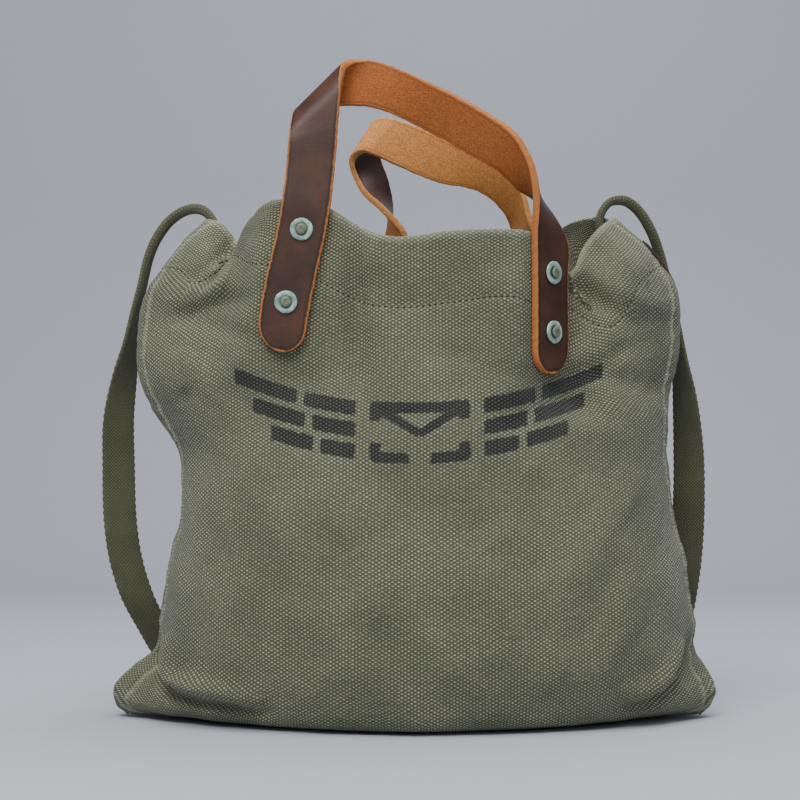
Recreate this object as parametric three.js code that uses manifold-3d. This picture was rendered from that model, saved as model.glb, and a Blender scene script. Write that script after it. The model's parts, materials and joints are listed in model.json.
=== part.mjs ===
// Small canvas mail sack, standing open on its bottom: two canvas panels sewn at the sides and
// along the bottom fold, two riveted leather hand straps, leather side tabs and a webbing
// shoulder strap. Millimetres, +X to the right, the front faces -Y, +Z up, and the origin is
// the bottom centre of the sack.
import * as THREE from 'three';
import Module from 'manifold-3d';
import { mergeVertices } from 'three/addons/utils/BufferGeometryUtils.js';

// ---- Driving dimensions ----
const CANVAS_THICKNESS = 1.6;
const SEAM_GAP = 0.3;
const CONTACT_GAP = 0.3;

const STRAP_WIDTH = 25.4;
const LEATHER_THICKNESS = 4;

const SHANK_RADIUS = 2;
const HOLE_RADIUS = 2.45;
const HEAD_RADIUS = 6;
const HEAD_THICKNESS = 1.2;
const BURR_RADIUS = 6;
const BURR_THICKNESS = 1.2;
const PEEN_RADIUS = 2.9;
const PEEN_HEIGHT = 1.1;
const ROUND_SIDES = 12;

const PANEL_COLUMNS = 40;
const PANEL_ROWS = 22;

// ---- Materials ----
function material(color, roughness, metalness = 0) {
  return new THREE.MeshStandardMaterial({ color, roughness, metalness });
}
const canvasCloth = material(0x6d6f5e, 0.9);
const webbingCloth = material(0x494a37, 0.9);
const strapLeather = material(0x4a2a1c, 0.5);
const tabLeather = material(0x2c2119, 0.6);
const greenCopper = material(0x97b7b7, 0.6, 0.4);

const sack = new THREE.Group();

// ---- The shape of the sack ----
// Level lines of a panel from the bottom fold (step 0) to the rim (step 1): the seam's height
// and reach to the left and right, and the height, bulge and roundness at the middle.
const LEVELS = [
  { step: 0.0, seamZ: 1, left: 157, right: 158, midZ: 0, bulge: 0, round: 2 },
  { step: 0.08, seamZ: 5, left: 164, right: 164, midZ: 0, bulge: 32, round: 1.5 },
  { step: 0.15, seamZ: 13, left: 165, right: 166, midZ: 0, bulge: 60, round: 1.5 },
  { step: 0.21, seamZ: 24, left: 154, right: 160, midZ: 4, bulge: 79, round: 1.6 },
  { step: 0.27, seamZ: 37, left: 141, right: 154, midZ: 18, bulge: 85, round: 1.8 },
  { step: 0.34, seamZ: 54, left: 138, right: 153, midZ: 38, bulge: 86, round: 2 },
  { step: 0.45, seamZ: 82, left: 133, right: 149, midZ: 74, bulge: 85, round: 2.1 },
  { step: 0.56, seamZ: 112, left: 126.5, right: 142, midZ: 112, bulge: 81, round: 2.1 },
  { step: 0.67, seamZ: 144, left: 128, right: 139, midZ: 148, bulge: 76, round: 2 },
  { step: 0.78, seamZ: 178, left: 147, right: 141, midZ: 184, bulge: 68, round: 1.9 },
  { step: 0.88, seamZ: 212, left: 151.5, right: 147, midZ: 216, bulge: 62, round: 1.8 },
  { step: 0.94, seamZ: 240, left: 142, right: 142, midZ: 236, bulge: 61, round: 1.8 },
  { step: 1.0, seamZ: 273, left: 115, right: 112, midZ: 256, bulge: 60, round: 1.9 },
];

// The rim's height above its straight line, along x.
const FRONT_RIM = [
  [-116, 273], [-98, 258], [-84, 270], [-70, 275], [-46, 271], [-30, 262], [-17, 256], [0, 255],
  [22, 258], [44, 257], [60, 255], [74, 262], [86, 266], [95, 262], [100, 248], [112, 273],
];
const BACK_RIM = [[-116, 273], [-80, 264], [-20, 262], [30, 256], [70, 262], [90, 270], [112, 273]];

// Places where the cloth is pushed or pulled: centre (x, z), half-widths, turn of the oval in
// degrees, and how far the cloth goes.
const FRONT_FOLDS = [
  { at: [-97, 256], size: [10, 34], turn: -22, move: [1, 13, 0] },
  { at: [-30, 210], size: [10, 60], turn: -4, move: [0, 6, 0] },
  { at: [58, 230], size: [16, 54], turn: 0, move: [1, -5, 0] },
  { at: [90, 252], size: [12, 50], turn: 0, move: [6, 26, 0] },
  { at: [108, 250], size: [10, 40], turn: 8, move: [-5, -8, 0] },
  { at: [84, 186], size: [60, 7], turn: 8, move: [0, 6, 0] },
  { at: [-121, 216], size: [26, 9], turn: 8, move: [2, 4, 0] },
];
const BACK_FOLDS = [
  { at: [22, 250], size: [20, 70], turn: 0, move: [0, -22, 0] },
  { at: [-22, 240], size: [12, 50], turn: 0, move: [0, 5, 0] },
  { at: [-95, 250], size: [12, 45], turn: -15, move: [0, -14, 0] },
  { at: [98, 250], size: [12, 45], turn: 15, move: [0, -14, 0] },
];

// A smooth curve through evenly or unevenly spaced values (Catmull-Rom tangents).
function smoothAt(knots, values, x) {
  const last = knots.length - 1;
  let i = 0;
  while (i < last - 1 && x > knots[i + 1]) i++;
  const slope = (a, b) => (values[b] - values[a]) / (knots[b] - knots[a]);
  const span = knots[i + 1] - knots[i];
  const t = THREE.MathUtils.clamp((x - knots[i]) / span, 0, 1);
  const m0 = slope(Math.max(i - 1, 0), Math.min(i + 1, last)) * span;
  const m1 = slope(i, Math.min(i + 2, last)) * span;
  const [t2, t3] = [t * t, t * t * t];
  return (2 * t3 - 3 * t2 + 1) * values[i] + (t3 - 2 * t2 + t) * m0
    + (3 * t2 - 2 * t3) * values[i + 1] + (t3 - t2) * m1;
}

function level(step) {
  const knots = LEVELS.map((row) => row.step);
  const pick = (key) => smoothAt(knots, LEVELS.map((row) => row[key]), step);
  return {
    seamZ: pick('seamZ'), left: pick('left'), right: pick('right'),
    midZ: pick('midZ'), bulge: pick('bulge'), round: pick('round'),
  };
}

// A riveted strap end holds the cloth flat against it: the middle of its lower and upper end,
// and the way it faces.
const HELD_FLAT = {
  front: [
    { low: [-70, -61, 188], high: [-54, -61, 272], out: [0, -1, 0] },
    { low: [72, -58.5, 174], high: [72, -58.5, 256], out: [0.707, -0.707, 0] },
  ],
  back: [
    { low: [-36, 61, 176], high: [-20, 61, 252], out: [0, 1, 0] },
    { low: [69, 60, 174], high: [69, 60, 252], out: [0.431, 0.902, 0] },
  ],
};
const HELD_DEPTH = 2.7;
const HELD_WIDTH = 17;
const HELD_FADE = 20;

function pressFlat(point, leg) {
  const [low, high, out] = [leg.low, leg.high, leg.out].map((v) => new THREE.Vector3(...v));
  const along = high.clone().sub(low);
  const length = along.length();
  along.normalize();
  const sideways = along.clone().cross(out);
  const offset = point.clone().sub(low);
  const { smoothstep } = THREE.MathUtils;
  const run = offset.dot(along);
  const weight = (1 - smoothstep(Math.abs(offset.dot(sideways)), HELD_WIDTH, HELD_WIDTH + HELD_FADE))
    * smoothstep(run, -HELD_FADE, 0) * (1 - smoothstep(run, length + 12, length + 40));
  point.addScaledVector(out, weight * (-HELD_DEPTH - offset.dot(out)));
}

// One point of a panel's outer face: across runs from -1 at the left seam to 1 at the right,
// step from 0 at the bottom fold to 1 at the rim, side is -1 for the front and 1 for the back.
function panelPoint(side, across, step) {
  const row = level(step);
  const angle = across * Math.PI / 2;
  const power = 2 / row.round;
  const reach = across < 0 ? row.left : row.right;
  const x = reach * Math.sign(across) * Math.abs(Math.sin(angle)) ** power;
  const y = row.bulge * Math.abs(Math.cos(angle)) ** power;
  const edge = Math.abs(across) ** 3;
  let z = row.midZ + (row.seamZ - row.midZ) * edge;
  const rim = side < 0 ? FRONT_RIM : BACK_RIM;
  const rimZ = smoothAt(rim.map((p) => p[0]), rim.map((p) => p[1]), x);
  const straightRim = 256 + (273 - 256) * edge;
  z += (rimZ - straightRim) * THREE.MathUtils.smoothstep(step, 0.84, 1);

  const point = new THREE.Vector3(x, side * (y + SEAM_GAP / 2), Math.max(z, 0));
  for (const fold of side < 0 ? FRONT_FOLDS : BACK_FOLDS) {
    const turn = THREE.MathUtils.degToRad(fold.turn);
    const [dx, dz] = [x - fold.at[0], z - fold.at[1]];
    const u = (dx * Math.cos(turn) - dz * Math.sin(turn)) / fold.size[0];
    const v = (dx * Math.sin(turn) + dz * Math.cos(turn)) / fold.size[1];
    const weight = Math.exp(-u * u - v * v) * (1 - edge ** 3) * Math.min(1, step * 4);
    point.add(new THREE.Vector3(...fold.move).multiplyScalar(weight));
  }
  if (step > 0.6) {
    for (const leg of side < 0 ? HELD_FLAT.front : HELD_FLAT.back) pressFlat(point, leg);
  }
  return point;
}

// ---- Solids from a grid ----
// A closed slab between two faces given as grids of points, front[i][j] and back[i][j].
function slab(front, back) {
  const [columns, rows] = [front.length, front[0].length];
  const count = columns * rows;
  const positions = [...front.flat(), ...back.flat()].flatMap((p) => [p.x, p.y, p.z]);
  const index = [];
  const at = (i, j) => i * rows + j;
  const quad = (a, b, c, d) => index.push(a, b, c, a, c, d);
  for (let i = 0; i < columns - 1; i++) {
    for (let j = 0; j < rows - 1; j++) {
      quad(at(i, j), at(i + 1, j), at(i + 1, j + 1), at(i, j + 1));
      quad(count + at(i, j), count + at(i, j + 1), count + at(i + 1, j + 1), count + at(i + 1, j));
    }
  }
  for (let i = 0; i < columns - 1; i++) {
    quad(at(i + 1, 0), at(i, 0), count + at(i, 0), count + at(i + 1, 0));
    quad(at(i, rows - 1), at(i + 1, rows - 1), count + at(i + 1, rows - 1), count + at(i, rows - 1));
  }
  for (let j = 0; j < rows - 1; j++) {
    quad(at(0, j), at(0, j + 1), count + at(0, j + 1), count + at(0, j));
    quad(at(columns - 1, j + 1), at(columns - 1, j), count + at(columns - 1, j),
      count + at(columns - 1, j + 1));
  }
  const geometry = new THREE.BufferGeometry();
  geometry.setAttribute('position', new THREE.Float32BufferAttribute(positions, 3));
  geometry.setIndex(index);
  geometry.computeVertexNormals();
  return geometry;
}

function grid(columns, rows, pointAt) {
  return Array.from({ length: columns + 1 }, (_, i) =>
    Array.from({ length: rows + 1 }, (_, j) => pointAt(i / columns, j / rows)));
}

// Unit normals of a grid of points, from its neighbours.
function gridNormals(points) {
  const [columns, rows] = [points.length, points[0].length];
  return points.map((column, i) => column.map((_, j) => {
    const along = points[Math.min(i + 1, columns - 1)][j].clone()
      .sub(points[Math.max(i - 1, 0)][j]);
    const up = points[i][Math.min(j + 1, rows - 1)].clone().sub(points[i][Math.max(j - 1, 0)]);
    return along.cross(up).normalize();
  }));
}

function shifted(points, normals, distance) {
  return points.map((column, i) => column.map((p, j) =>
    p.clone().addScaledVector(normals[i][j], distance)));
}

function addMesh(name, geometry, look) {
  const mesh = new THREE.Mesh(geometry, look);
  mesh.name = name;
  sack.add(mesh);
  return mesh;
}

// ---- Canvas panels ----
function panelGeometry(side) {
  const turn = side < 0 ? 1 : -1;
  const outer = grid(PANEL_COLUMNS, PANEL_ROWS, (i, j) => panelPoint(side, turn * (2 * i - 1), j));
  const inner = shifted(outer, gridNormals(outer), -CANVAS_THICKNESS);
  for (const column of inner) {
    for (const p of column) {
      p.y = side * Math.max(side * p.y, SEAM_GAP / 2);
    }
  }
  return slab(outer, inner);
}

// ---- Straps ----
// A strap is a ruled band between two edges, given as matching stations [x, y, z] of each edge.
// A number between two stations is a place on the strap, so 2.5 is half-way from 2 to 3.
function edgeCurve(stations, key) {
  const points = stations.map((station) => new THREE.Vector3(...station[key]));
  return new THREE.CatmullRomCurve3(points, false, 'centripetal');
}

function strap(stations) {
  const [nearEdge, farEdge] = [edgeCurve(stations, 'near'), edgeCurve(stations, 'far')];
  const last = stations.length - 1;
  const near = (place) => nearEdge.getPoint(place / last);
  const far = (place) => farEdge.getPoint(place / last);
  const middle = (place) => near(place).add(far(place)).multiplyScalar(0.5);
  const normal = (place) => {
    const along = middle(Math.min(place + 0.05, last)).sub(middle(Math.max(place - 0.05, 0)));
    return along.cross(near(place).sub(far(place))).normalize();
  };
  return { near, far, middle, normal };
}

// A length of strap from one place to another. A rounded end narrows to a half circle.
function bandGeometry(stations, { from, to, steps, thickness, roundFrom, roundTo, columns = 4 }) {
  const path = strap(stations);
  const radius = STRAP_WIDTH / 2;
  const narrowed = (centre, tip) => {
    const gap = Math.min(centre.distanceTo(tip), radius);
    return Math.max(Math.sqrt(radius ** 2 - (radius - gap) ** 2) / radius, 0.3);
  };
  const points = grid(steps, columns, (i, j) => {
    const place = from + (to - from) * i;
    const centre = path.middle(place);
    let share = 1;
    if (roundFrom) share = Math.min(share, narrowed(centre, path.middle(from)));
    if (roundTo) share = Math.min(share, narrowed(centre, path.middle(to)));
    return centre.add(path.near(place).sub(path.far(place)).multiplyScalar(share * (j - 0.5)));
  });
  const normals = gridNormals(points);
  const half = (place) => (typeof thickness === 'function' ? thickness(place) : thickness) / 2;
  const lift = (sign) => points.map((column, i) => column.map((p, j) =>
    p.clone().addScaledVector(normals[i][j], sign * half(from + (to - from) * i / steps))));
  return slab(lift(1), lift(-1));
}

// near is the edge that turns into the top edge of the arch, far the other one.
const FRONT_HANDLE = [
  { near: [-57.5, -61, 191], far: [-81, -61, 196] },
  { near: [-53, -61, 219], far: [-78, -61, 224] },
  { near: [-45, -61, 257], far: [-70, -61, 262] },
  { near: [-42.9, -61, 269], far: [-68.1, -61, 273] },
  { near: [-40.5, -60, 290], far: [-65.8, -60, 291] },
  { near: [-38.5, -59, 316], far: [-64.5, -59, 303] },
  { near: [-37, -57, 334], far: [-63.5, -57, 308] },
  { near: [-34.5, -50, 345.5], far: [-61, -50, 318.2] },
  { near: [-26, -43, 349], far: [-53, -43, 322] },
  { near: [-12, -42, 346.5], far: [-24, -42, 323.5] },
  { near: [15.5, -50, 334], far: [6.7, -38, 314] },
  { near: [37, -57, 323], far: [31, -45, 302] },
  { near: [52.5, -65, 310], far: [47, -49, 292] },
  { near: [60.5, -69, 296], far: [57, -48, 283] },
  { near: [64, -70, 279], far: [66.5, -47, 277] },
  { near: [63, -67.5, 256], far: [81, -49.5, 254] },
  { near: [63, -67.5, 236], far: [81, -49.5, 238] },
  { near: [63, -67.5, 204], far: [81, -49.5, 208] },
  { near: [63, -67.5, 181], far: [81, -49.5, 183] },
];
const BACK_HANDLE = [
  { near: [-22, 61, 180], far: [-47, 61, 185] },
  { near: [-18, 61, 206], far: [-43, 61, 213] },
  { near: [-9, 61, 241], far: [-33.5, 61, 248] },
  { near: [-7.3, 61, 249], far: [-31.8, 61, 256] },
  { near: [-4, 52, 272], far: [-16, 73, 274] },
  { near: [-17.5, 50, 288], far: [-13.2, 74, 291] },
  { near: [-28, 52, 297.6], far: [-14.5, 72, 304] },
  { near: [-34.5, 56, 309.3], far: [-21, 70, 325] },
  { near: [-36, 53, 317], far: [-23, 58, 339] },
  { near: [-29, 46, 321], far: [-14, 49, 341] },
  { near: [-9.9, 47, 313.4], far: [-2, 47, 337.5] },
  { near: [13.6, 50, 304], far: [24, 45, 326] },
  { near: [40, 54, 298.7], far: [50, 45, 314] },
  { near: [55.8, 62, 285.8], far: [62.8, 46, 300] },
  { near: [60.5, 71, 274], far: [69, 48, 281] },
  { near: [57.5, 65.5, 253], far: [80.5, 54.5, 253] },
  { near: [57.5, 65.5, 238], far: [80.5, 54.5, 238] },
  { near: [57.5, 65.5, 204], far: [80.5, 54.5, 204] },
  { near: [57.5, 65.5, 180], far: [80.5, 54.5, 180] },
];
const RIVET_PLACES = { left_lower: 1, left_upper: 2, right_upper: 16, right_lower: 17 };
// Where each handle's riveted ends stop and its swinging loop begins and ends.
const FRONT_CUTS = { leftEnd: 3.15, loopFrom: 3.5, loopTo: 14.3, rightEnd: 15 };
const BACK_CUTS = { leftEnd: 2.95, loopFrom: 3.72, loopTo: 14.45, rightEnd: 15.05 };

// ---- Cutting holes ----
const wasm = await Module();
wasm.setup();

function toSolid(geometry) {
  const bare = geometry.clone();
  bare.deleteAttribute('normal');
  bare.deleteAttribute('uv');
  const merged = mergeVertices(bare, 1e-4);
  return new wasm.Manifold(new wasm.Mesh({
    numProp: 3,
    vertProperties: new Float32Array(merged.attributes.position.array),
    triVerts: new Uint32Array(merged.index.array),
  }));
}

function toGeometry(solid) {
  const mesh = solid.getMesh();
  const geometry = new THREE.BufferGeometry();
  geometry.setAttribute('position', new THREE.BufferAttribute(mesh.vertProperties, 3));
  geometry.setIndex(new THREE.BufferAttribute(mesh.triVerts, 1));
  geometry.computeVertexNormals();
  return geometry;
}

// Turns a shape made along +Y so that it points along a direction, and moves it to a place.
function aim(geometry, place, direction) {
  const turn = new THREE.Quaternion().setFromUnitVectors(new THREE.Vector3(0, 1, 0), direction);
  return geometry.applyQuaternion(turn).translate(place.x, place.y, place.z);
}

const HOLE_LENGTH = 24;
function withHoles(geometry, holes) {
  let solid = toSolid(geometry);
  for (const { at, out } of holes) {
    const drill = new THREE.CylinderGeometry(HOLE_RADIUS, HOLE_RADIUS, HOLE_LENGTH, ROUND_SIDES);
    solid = solid.subtract(toSolid(aim(drill, at, out)));
  }
  return toGeometry(solid);
}

// ---- Rivets ----
// A flat head inside the sack, a shank through cloth and leather, and a peened tip outside.
// inside and outside are the distances from the strap's middle to the head and to the burr.
function rivetGeometry(inside, outside) {
  const tip = outside + BURR_THICKNESS + CONTACT_GAP;
  const profile = [
    [0, -inside - HEAD_THICKNESS], [HEAD_RADIUS, -inside - HEAD_THICKNESS],
    [HEAD_RADIUS, -inside], [SHANK_RADIUS, -inside], [SHANK_RADIUS, tip],
    [PEEN_RADIUS, tip], [PEEN_RADIUS - 0.8, tip + PEEN_HEIGHT], [0, tip + PEEN_HEIGHT],
  ];
  return new THREE.LatheGeometry(profile.map(([r, h]) => new THREE.Vector2(r, h)), ROUND_SIDES);
}

function burrGeometry(outside) {
  const [low, high] = [outside, outside + BURR_THICKNESS];
  const profile = [
    [HOLE_RADIUS, low], [BURR_RADIUS, low], [BURR_RADIUS, high - 0.4],
    [BURR_RADIUS - 0.4, high], [HOLE_RADIUS, high], [HOLE_RADIUS, low],
  ];
  return new THREE.LatheGeometry(profile.map(([r, h]) => new THREE.Vector2(r, h)), ROUND_SIDES);
}

function addRivet(name, { at, out }, inside, outside) {
  addMesh(`rivet_${name}`, aim(rivetGeometry(inside, outside), at, out), greenCopper);
  addMesh(`burr_${name}`, aim(burrGeometry(outside), at, out), greenCopper);
}

// ---- Side tabs ----
// Leather tabs outside the back panel, just behind each side seam, from the rim down. The lower
// end is stiff and stands off where the cloth draws in below it.
const TAB_STEPS = { bottom: 0.75, free: 0.84, high: 0.94, top: 0.975 };
const TAB_LOW = 0.74;
const TAB_HIGH = 0.85;
const TAB_SPREAD = 0.24;
const TAB_GAP = 0.6;
const TAB_THICKNESS = 3;
const TAB_STAND_OFF = 4;
const TAB_RIVETS = [{ name: 'lower', step: 0.84 }, { name: 'upper', step: 0.92 }];

function tabAcross(step) {
  return TAB_LOW + (TAB_HIGH - TAB_LOW) * THREE.MathUtils.smoothstep(step, TAB_STEPS.bottom, 1);
}

function clothFrame(side, across, step) {
  const at = panelPoint(side, across, step);
  const small = 0.004;
  const sideways = panelPoint(side, across + small, step).sub(panelPoint(side, across - small, step));
  const upwards = panelPoint(side, across, Math.min(step + small, 1))
    .sub(panelPoint(side, across, step - small));
  const out = sideways.cross(upwards).normalize().multiplyScalar(-side);
  return { at, out };
}

function tabPoint(hand, i, j, lift) {
  const { smoothstep } = THREE.MathUtils;
  const step = TAB_STEPS.bottom + (TAB_STEPS.top - TAB_STEPS.bottom) * j;
  const narrow = Math.sqrt(Math.max(1 - Math.max(1 - j * 6, 0) ** 2, 0.1));
  const { at, out } = clothFrame(1, hand * (tabAcross(step) + TAB_SPREAD * narrow * (i - 0.5)), step);
  const standOff = TAB_STAND_OFF * (1 - smoothstep(step, TAB_STEPS.bottom, TAB_STEPS.free)
    + smoothstep(step, TAB_STEPS.high, TAB_STEPS.top));
  return at.addScaledVector(out, lift + standOff);
}

function tabGeometry(hand) {
  const flip = (i) => (hand > 0 ? 1 - i : i);
  const inner = grid(6, 14, (i, j) => tabPoint(hand, flip(i), j, TAB_GAP));
  const outer = grid(6, 14, (i, j) => tabPoint(hand, flip(i), j, TAB_GAP + TAB_THICKNESS));
  return slab(outer, inner);
}

// ---- Shoulder strap ----
// Stations [x, y, z], the way the webbing's width points (degrees from +X in plan), its width
// and its thickness. It starts and ends inside the sack, where the side tabs' rivets hold it,
// is folded double where it arcs over the rim, and lies on the ground behind the sack.
const SHOULDER_STRAP = [
  { at: [-133.5, 17, 190], turn: 44, width: 19, thick: 2 },
  { at: [-132, 13.5, 232], turn: 55, width: 19, thick: 2 },
  { at: [-121, 11, 250.5], turn: 66, width: 13, thick: 2.6 },
  { at: [-106.5, 6.5, 265], turn: 80, width: 10, thick: 4 },
  { at: [-104, 7.5, 276], turn: 90, width: 8, thick: 5 },
  { at: [-112, 10, 283.5], turn: 90, width: 8, thick: 6 },
  { at: [-127, 12, 281.5], turn: 90, width: 8, thick: 6 },
  { at: [-136, 13, 276.5], turn: 90, width: 8, thick: 6 },
  { at: [-143.4, 14, 267.5], turn: 90, width: 8, thick: 6 },
  { at: [-148.7, 15, 256], turn: 86, width: 9, thick: 5.5 },
  { at: [-152.6, 16, 239.6], turn: 82, width: 10, thick: 5 },
  { at: [-156, 17, 225], turn: 76, width: 12, thick: 4 },
  { at: [-159, 18, 207], turn: 66, width: 15, thick: 3 },
  { at: [-162.5, 19, 189], turn: 52, width: 18, thick: 2.4 },
  { at: [-166, 20, 164], turn: 36, width: 19, thick: 2 },
  { at: [-166, 21, 138], turn: 28, width: 19, thick: 2 },
  { at: [-165, 22, 107], turn: 24, width: 19, thick: 2 },
  { at: [-162, 24, 85], turn: 20, width: 19, thick: 2 },
  { at: [-156, 28, 64], turn: 12, width: 19, thick: 2 },
  { at: [-148, 36, 46], turn: 0, width: 19, thick: 2 },
  { at: [-139, 50, 26], turn: -18, width: 19, thick: 2 },
  { at: [-126, 68, 10], turn: -42, width: 19, thick: 2 },
  { at: [-104, 90, 2], turn: -62, width: 19, thick: 2 },
  { at: [-72, 106, 1.2], turn: -74, width: 19, thick: 2 },
  { at: [-30, 114, 1.2], turn: -86, width: 19, thick: 2 },
  { at: [15, 113, 1.2], turn: -96, width: 19, thick: 2 },
  { at: [58, 106, 1.2], turn: -106, width: 19, thick: 2 },
  { at: [98, 92, 2], turn: -118, width: 19, thick: 2 },
  { at: [125, 74, 9], turn: -136, width: 19, thick: 2 },
  { at: [141, 55, 26], turn: -160, width: 19, thick: 2 },
  { at: [149, 40, 48], turn: -184, width: 19, thick: 2 },
  { at: [153, 32, 73], turn: -196, width: 19, thick: 2 },
  { at: [155, 27, 96], turn: -204, width: 19, thick: 2 },
  { at: [156, 24, 126], turn: -212, width: 19, thick: 2 },
  { at: [155.5, 23, 152], turn: -220, width: 19, thick: 2 },
  { at: [153.5, 22, 178], turn: -234, width: 18, thick: 2.4 },
  { at: [151.5, 24, 197], turn: -246, width: 15, thick: 3 },
  { at: [150, 26.5, 214], turn: -256, width: 12, thick: 4 },
  { at: [147.5, 27, 230], turn: -262, width: 10, thick: 5 },
  { at: [144, 24.5, 244], turn: -266, width: 9, thick: 5.5 },
  { at: [140, 20, 257], turn: -270, width: 8, thick: 6 },
  { at: [134.5, 15, 270], turn: -270, width: 8, thick: 6 },
  { at: [127, 13, 281], turn: -270, width: 8, thick: 6 },
  { at: [117, 11, 286], turn: -270, width: 8, thick: 6 },
  { at: [107, 9, 284], turn: -270, width: 8, thick: 5 },
  { at: [100.5, 6.5, 276], turn: -270, width: 8, thick: 5 },
  { at: [102.5, 5.8, 264], turn: -260, width: 10, thick: 4 },
  { at: [119.5, 11, 249], turn: -246, width: 13, thick: 2.6 },
  { at: [130.5, 13.5, 232], turn: -235, width: 19, thick: 2 },
  { at: [129, 17, 190], turn: -224, width: 19, thick: 2 },
];
const WEBBING_STEPS = 80;

function webbingEdges({ at, turn, width }) {
  const angle = THREE.MathUtils.degToRad(turn);
  const [dx, dy] = [Math.cos(angle) * width / 2, Math.sin(angle) * width / 2];
  return { near: [at[0] - dx, at[1] - dy, at[2]], far: [at[0] + dx, at[1] + dy, at[2]] };
}

function webbingThickness(place) {
  const last = SHOULDER_STRAP.length - 1;
  const i = Math.min(Math.floor(place), last - 1);
  const share = place - i;
  return SHOULDER_STRAP[i].thick * (1 - share) + SHOULDER_STRAP[i + 1].thick * share;
}

// ---- Assembly ----
const RIVET_INSIDE = HELD_DEPTH + CANVAS_THICKNESS + 0.6;
const RIVET_OUTSIDE = LEATHER_THICKNESS / 2 + CONTACT_GAP;
const TAB_RIVET_INSIDE = 11;
const TAB_RIVET_OUTSIDE = TAB_GAP + TAB_THICKNESS + 2 * CONTACT_GAP;

function handleRivets(stations, side) {
  const path = strap(stations);
  return Object.entries(RIVET_PLACES).map(([name, place]) => (
    { name, at: path.middle(place), out: path.normal(place).multiplyScalar(side) }));
}

function addHandle(name, stations, cuts, rivets) {
  const last = stations.length - 1;
  const common = { thickness: LEATHER_THICKNESS };
  const left = bandGeometry(stations, { ...common, from: 0, to: cuts.leftEnd, steps: 14, roundFrom: true });
  const right = bandGeometry(stations,
    { ...common, from: cuts.rightEnd, to: last, steps: 14, roundTo: true });
  const loop = bandGeometry(stations, { ...common, from: cuts.loopFrom, to: cuts.loopTo, steps: 44 });
  addMesh(`${name}_left_end`, withHoles(left, rivets.slice(0, 2)), strapLeather);
  addMesh(`${name}_right_end`, withHoles(right, rivets.slice(2)), strapLeather);
  addMesh(`${name}_loop`, loop, strapLeather);
}

const frontRivets = handleRivets(FRONT_HANDLE, -1);
const backRivets = handleRivets(BACK_HANDLE, 1);
const tabRivets = [['left', -1], ['right', 1]].flatMap(([side, hand]) =>
  TAB_RIVETS.map(({ name, step }) => (
    { name: `${side}_tab_${name}`, ...clothFrame(1, hand * tabAcross(step), step) })));

addMesh('front_panel', withHoles(panelGeometry(-1), frontRivets), canvasCloth);
addMesh('back_panel', withHoles(panelGeometry(1), [...backRivets, ...tabRivets]), canvasCloth);
addHandle('front_handle', FRONT_HANDLE, FRONT_CUTS, frontRivets);
addHandle('back_handle', BACK_HANDLE, BACK_CUTS, backRivets);
addMesh('side_tab_left', withHoles(tabGeometry(-1), tabRivets.slice(0, 2)), tabLeather);
addMesh('side_tab_right', withHoles(tabGeometry(1), tabRivets.slice(2)), tabLeather);

const webbing = bandGeometry(SHOULDER_STRAP.map(webbingEdges), {
  from: 0, to: SHOULDER_STRAP.length - 1, steps: WEBBING_STEPS, thickness: webbingThickness, columns: 2,
});
addMesh('shoulder_strap', withHoles(webbing, tabRivets), webbingCloth);

for (const rivet of frontRivets) addRivet(`front_${rivet.name}`, rivet, RIVET_INSIDE, RIVET_OUTSIDE);
for (const rivet of backRivets) addRivet(`back_${rivet.name}`, rivet, RIVET_INSIDE, RIVET_OUTSIDE);
for (const rivet of tabRivets) addRivet(rivet.name, rivet, TAB_RIVET_INSIDE, TAB_RIVET_OUTSIDE);

export default sack;
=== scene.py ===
import json
import math

import bpy
import numpy as np
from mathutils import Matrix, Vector


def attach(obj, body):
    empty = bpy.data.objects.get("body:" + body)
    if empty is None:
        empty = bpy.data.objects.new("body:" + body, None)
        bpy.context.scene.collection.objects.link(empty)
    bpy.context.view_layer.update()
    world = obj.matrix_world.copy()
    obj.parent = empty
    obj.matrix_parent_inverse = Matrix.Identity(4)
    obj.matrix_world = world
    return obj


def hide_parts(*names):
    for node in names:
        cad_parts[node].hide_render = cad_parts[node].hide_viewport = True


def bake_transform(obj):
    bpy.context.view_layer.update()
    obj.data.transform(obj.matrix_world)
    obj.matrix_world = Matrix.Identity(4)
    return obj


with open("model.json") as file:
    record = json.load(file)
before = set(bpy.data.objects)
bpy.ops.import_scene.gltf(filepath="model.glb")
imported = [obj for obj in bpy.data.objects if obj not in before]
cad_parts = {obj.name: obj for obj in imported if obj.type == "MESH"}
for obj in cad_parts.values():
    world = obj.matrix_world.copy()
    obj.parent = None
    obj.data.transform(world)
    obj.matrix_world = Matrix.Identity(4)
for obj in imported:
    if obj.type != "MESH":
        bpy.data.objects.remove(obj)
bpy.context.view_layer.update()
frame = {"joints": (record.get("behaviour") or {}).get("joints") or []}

# Lengths below are millimetres, as in the CAD, and turn into metres where a mesh is made.
MM = 0.001

# ---- Camera and a helper for area lights ----
CAMERA_AT = (0.003, -0.975, 0.124)
CAMERA_PITCH = 2.92
CAMERA_TURN = 0.58
LENS = 79.43


def make_camera():
    data = bpy.data.cameras.new("camera")
    data.lens = LENS
    data.sensor_width = 36
    data.clip_start = 0.05
    camera = bpy.data.objects.new("camera", data)
    bpy.context.collection.objects.link(camera)
    camera.location = CAMERA_AT
    camera.rotation_euler = (math.radians(90 + CAMERA_PITCH), 0, math.radians(CAMERA_TURN))
    bpy.context.scene.camera = camera


def area_light(name, place, target, size, power, color):
    data = bpy.data.lights.new(name, "AREA")
    data.shape = "RECTANGLE"
    data.size, data.size_y = size
    data.energy = power
    data.color = color
    light = bpy.data.objects.new(name, data)
    bpy.context.collection.objects.link(light)
    light.location = place
    aim = Vector(target) - Vector(place)
    light.rotation_euler = aim.to_track_quat("-Z", "Y").to_euler()


make_camera()


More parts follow.
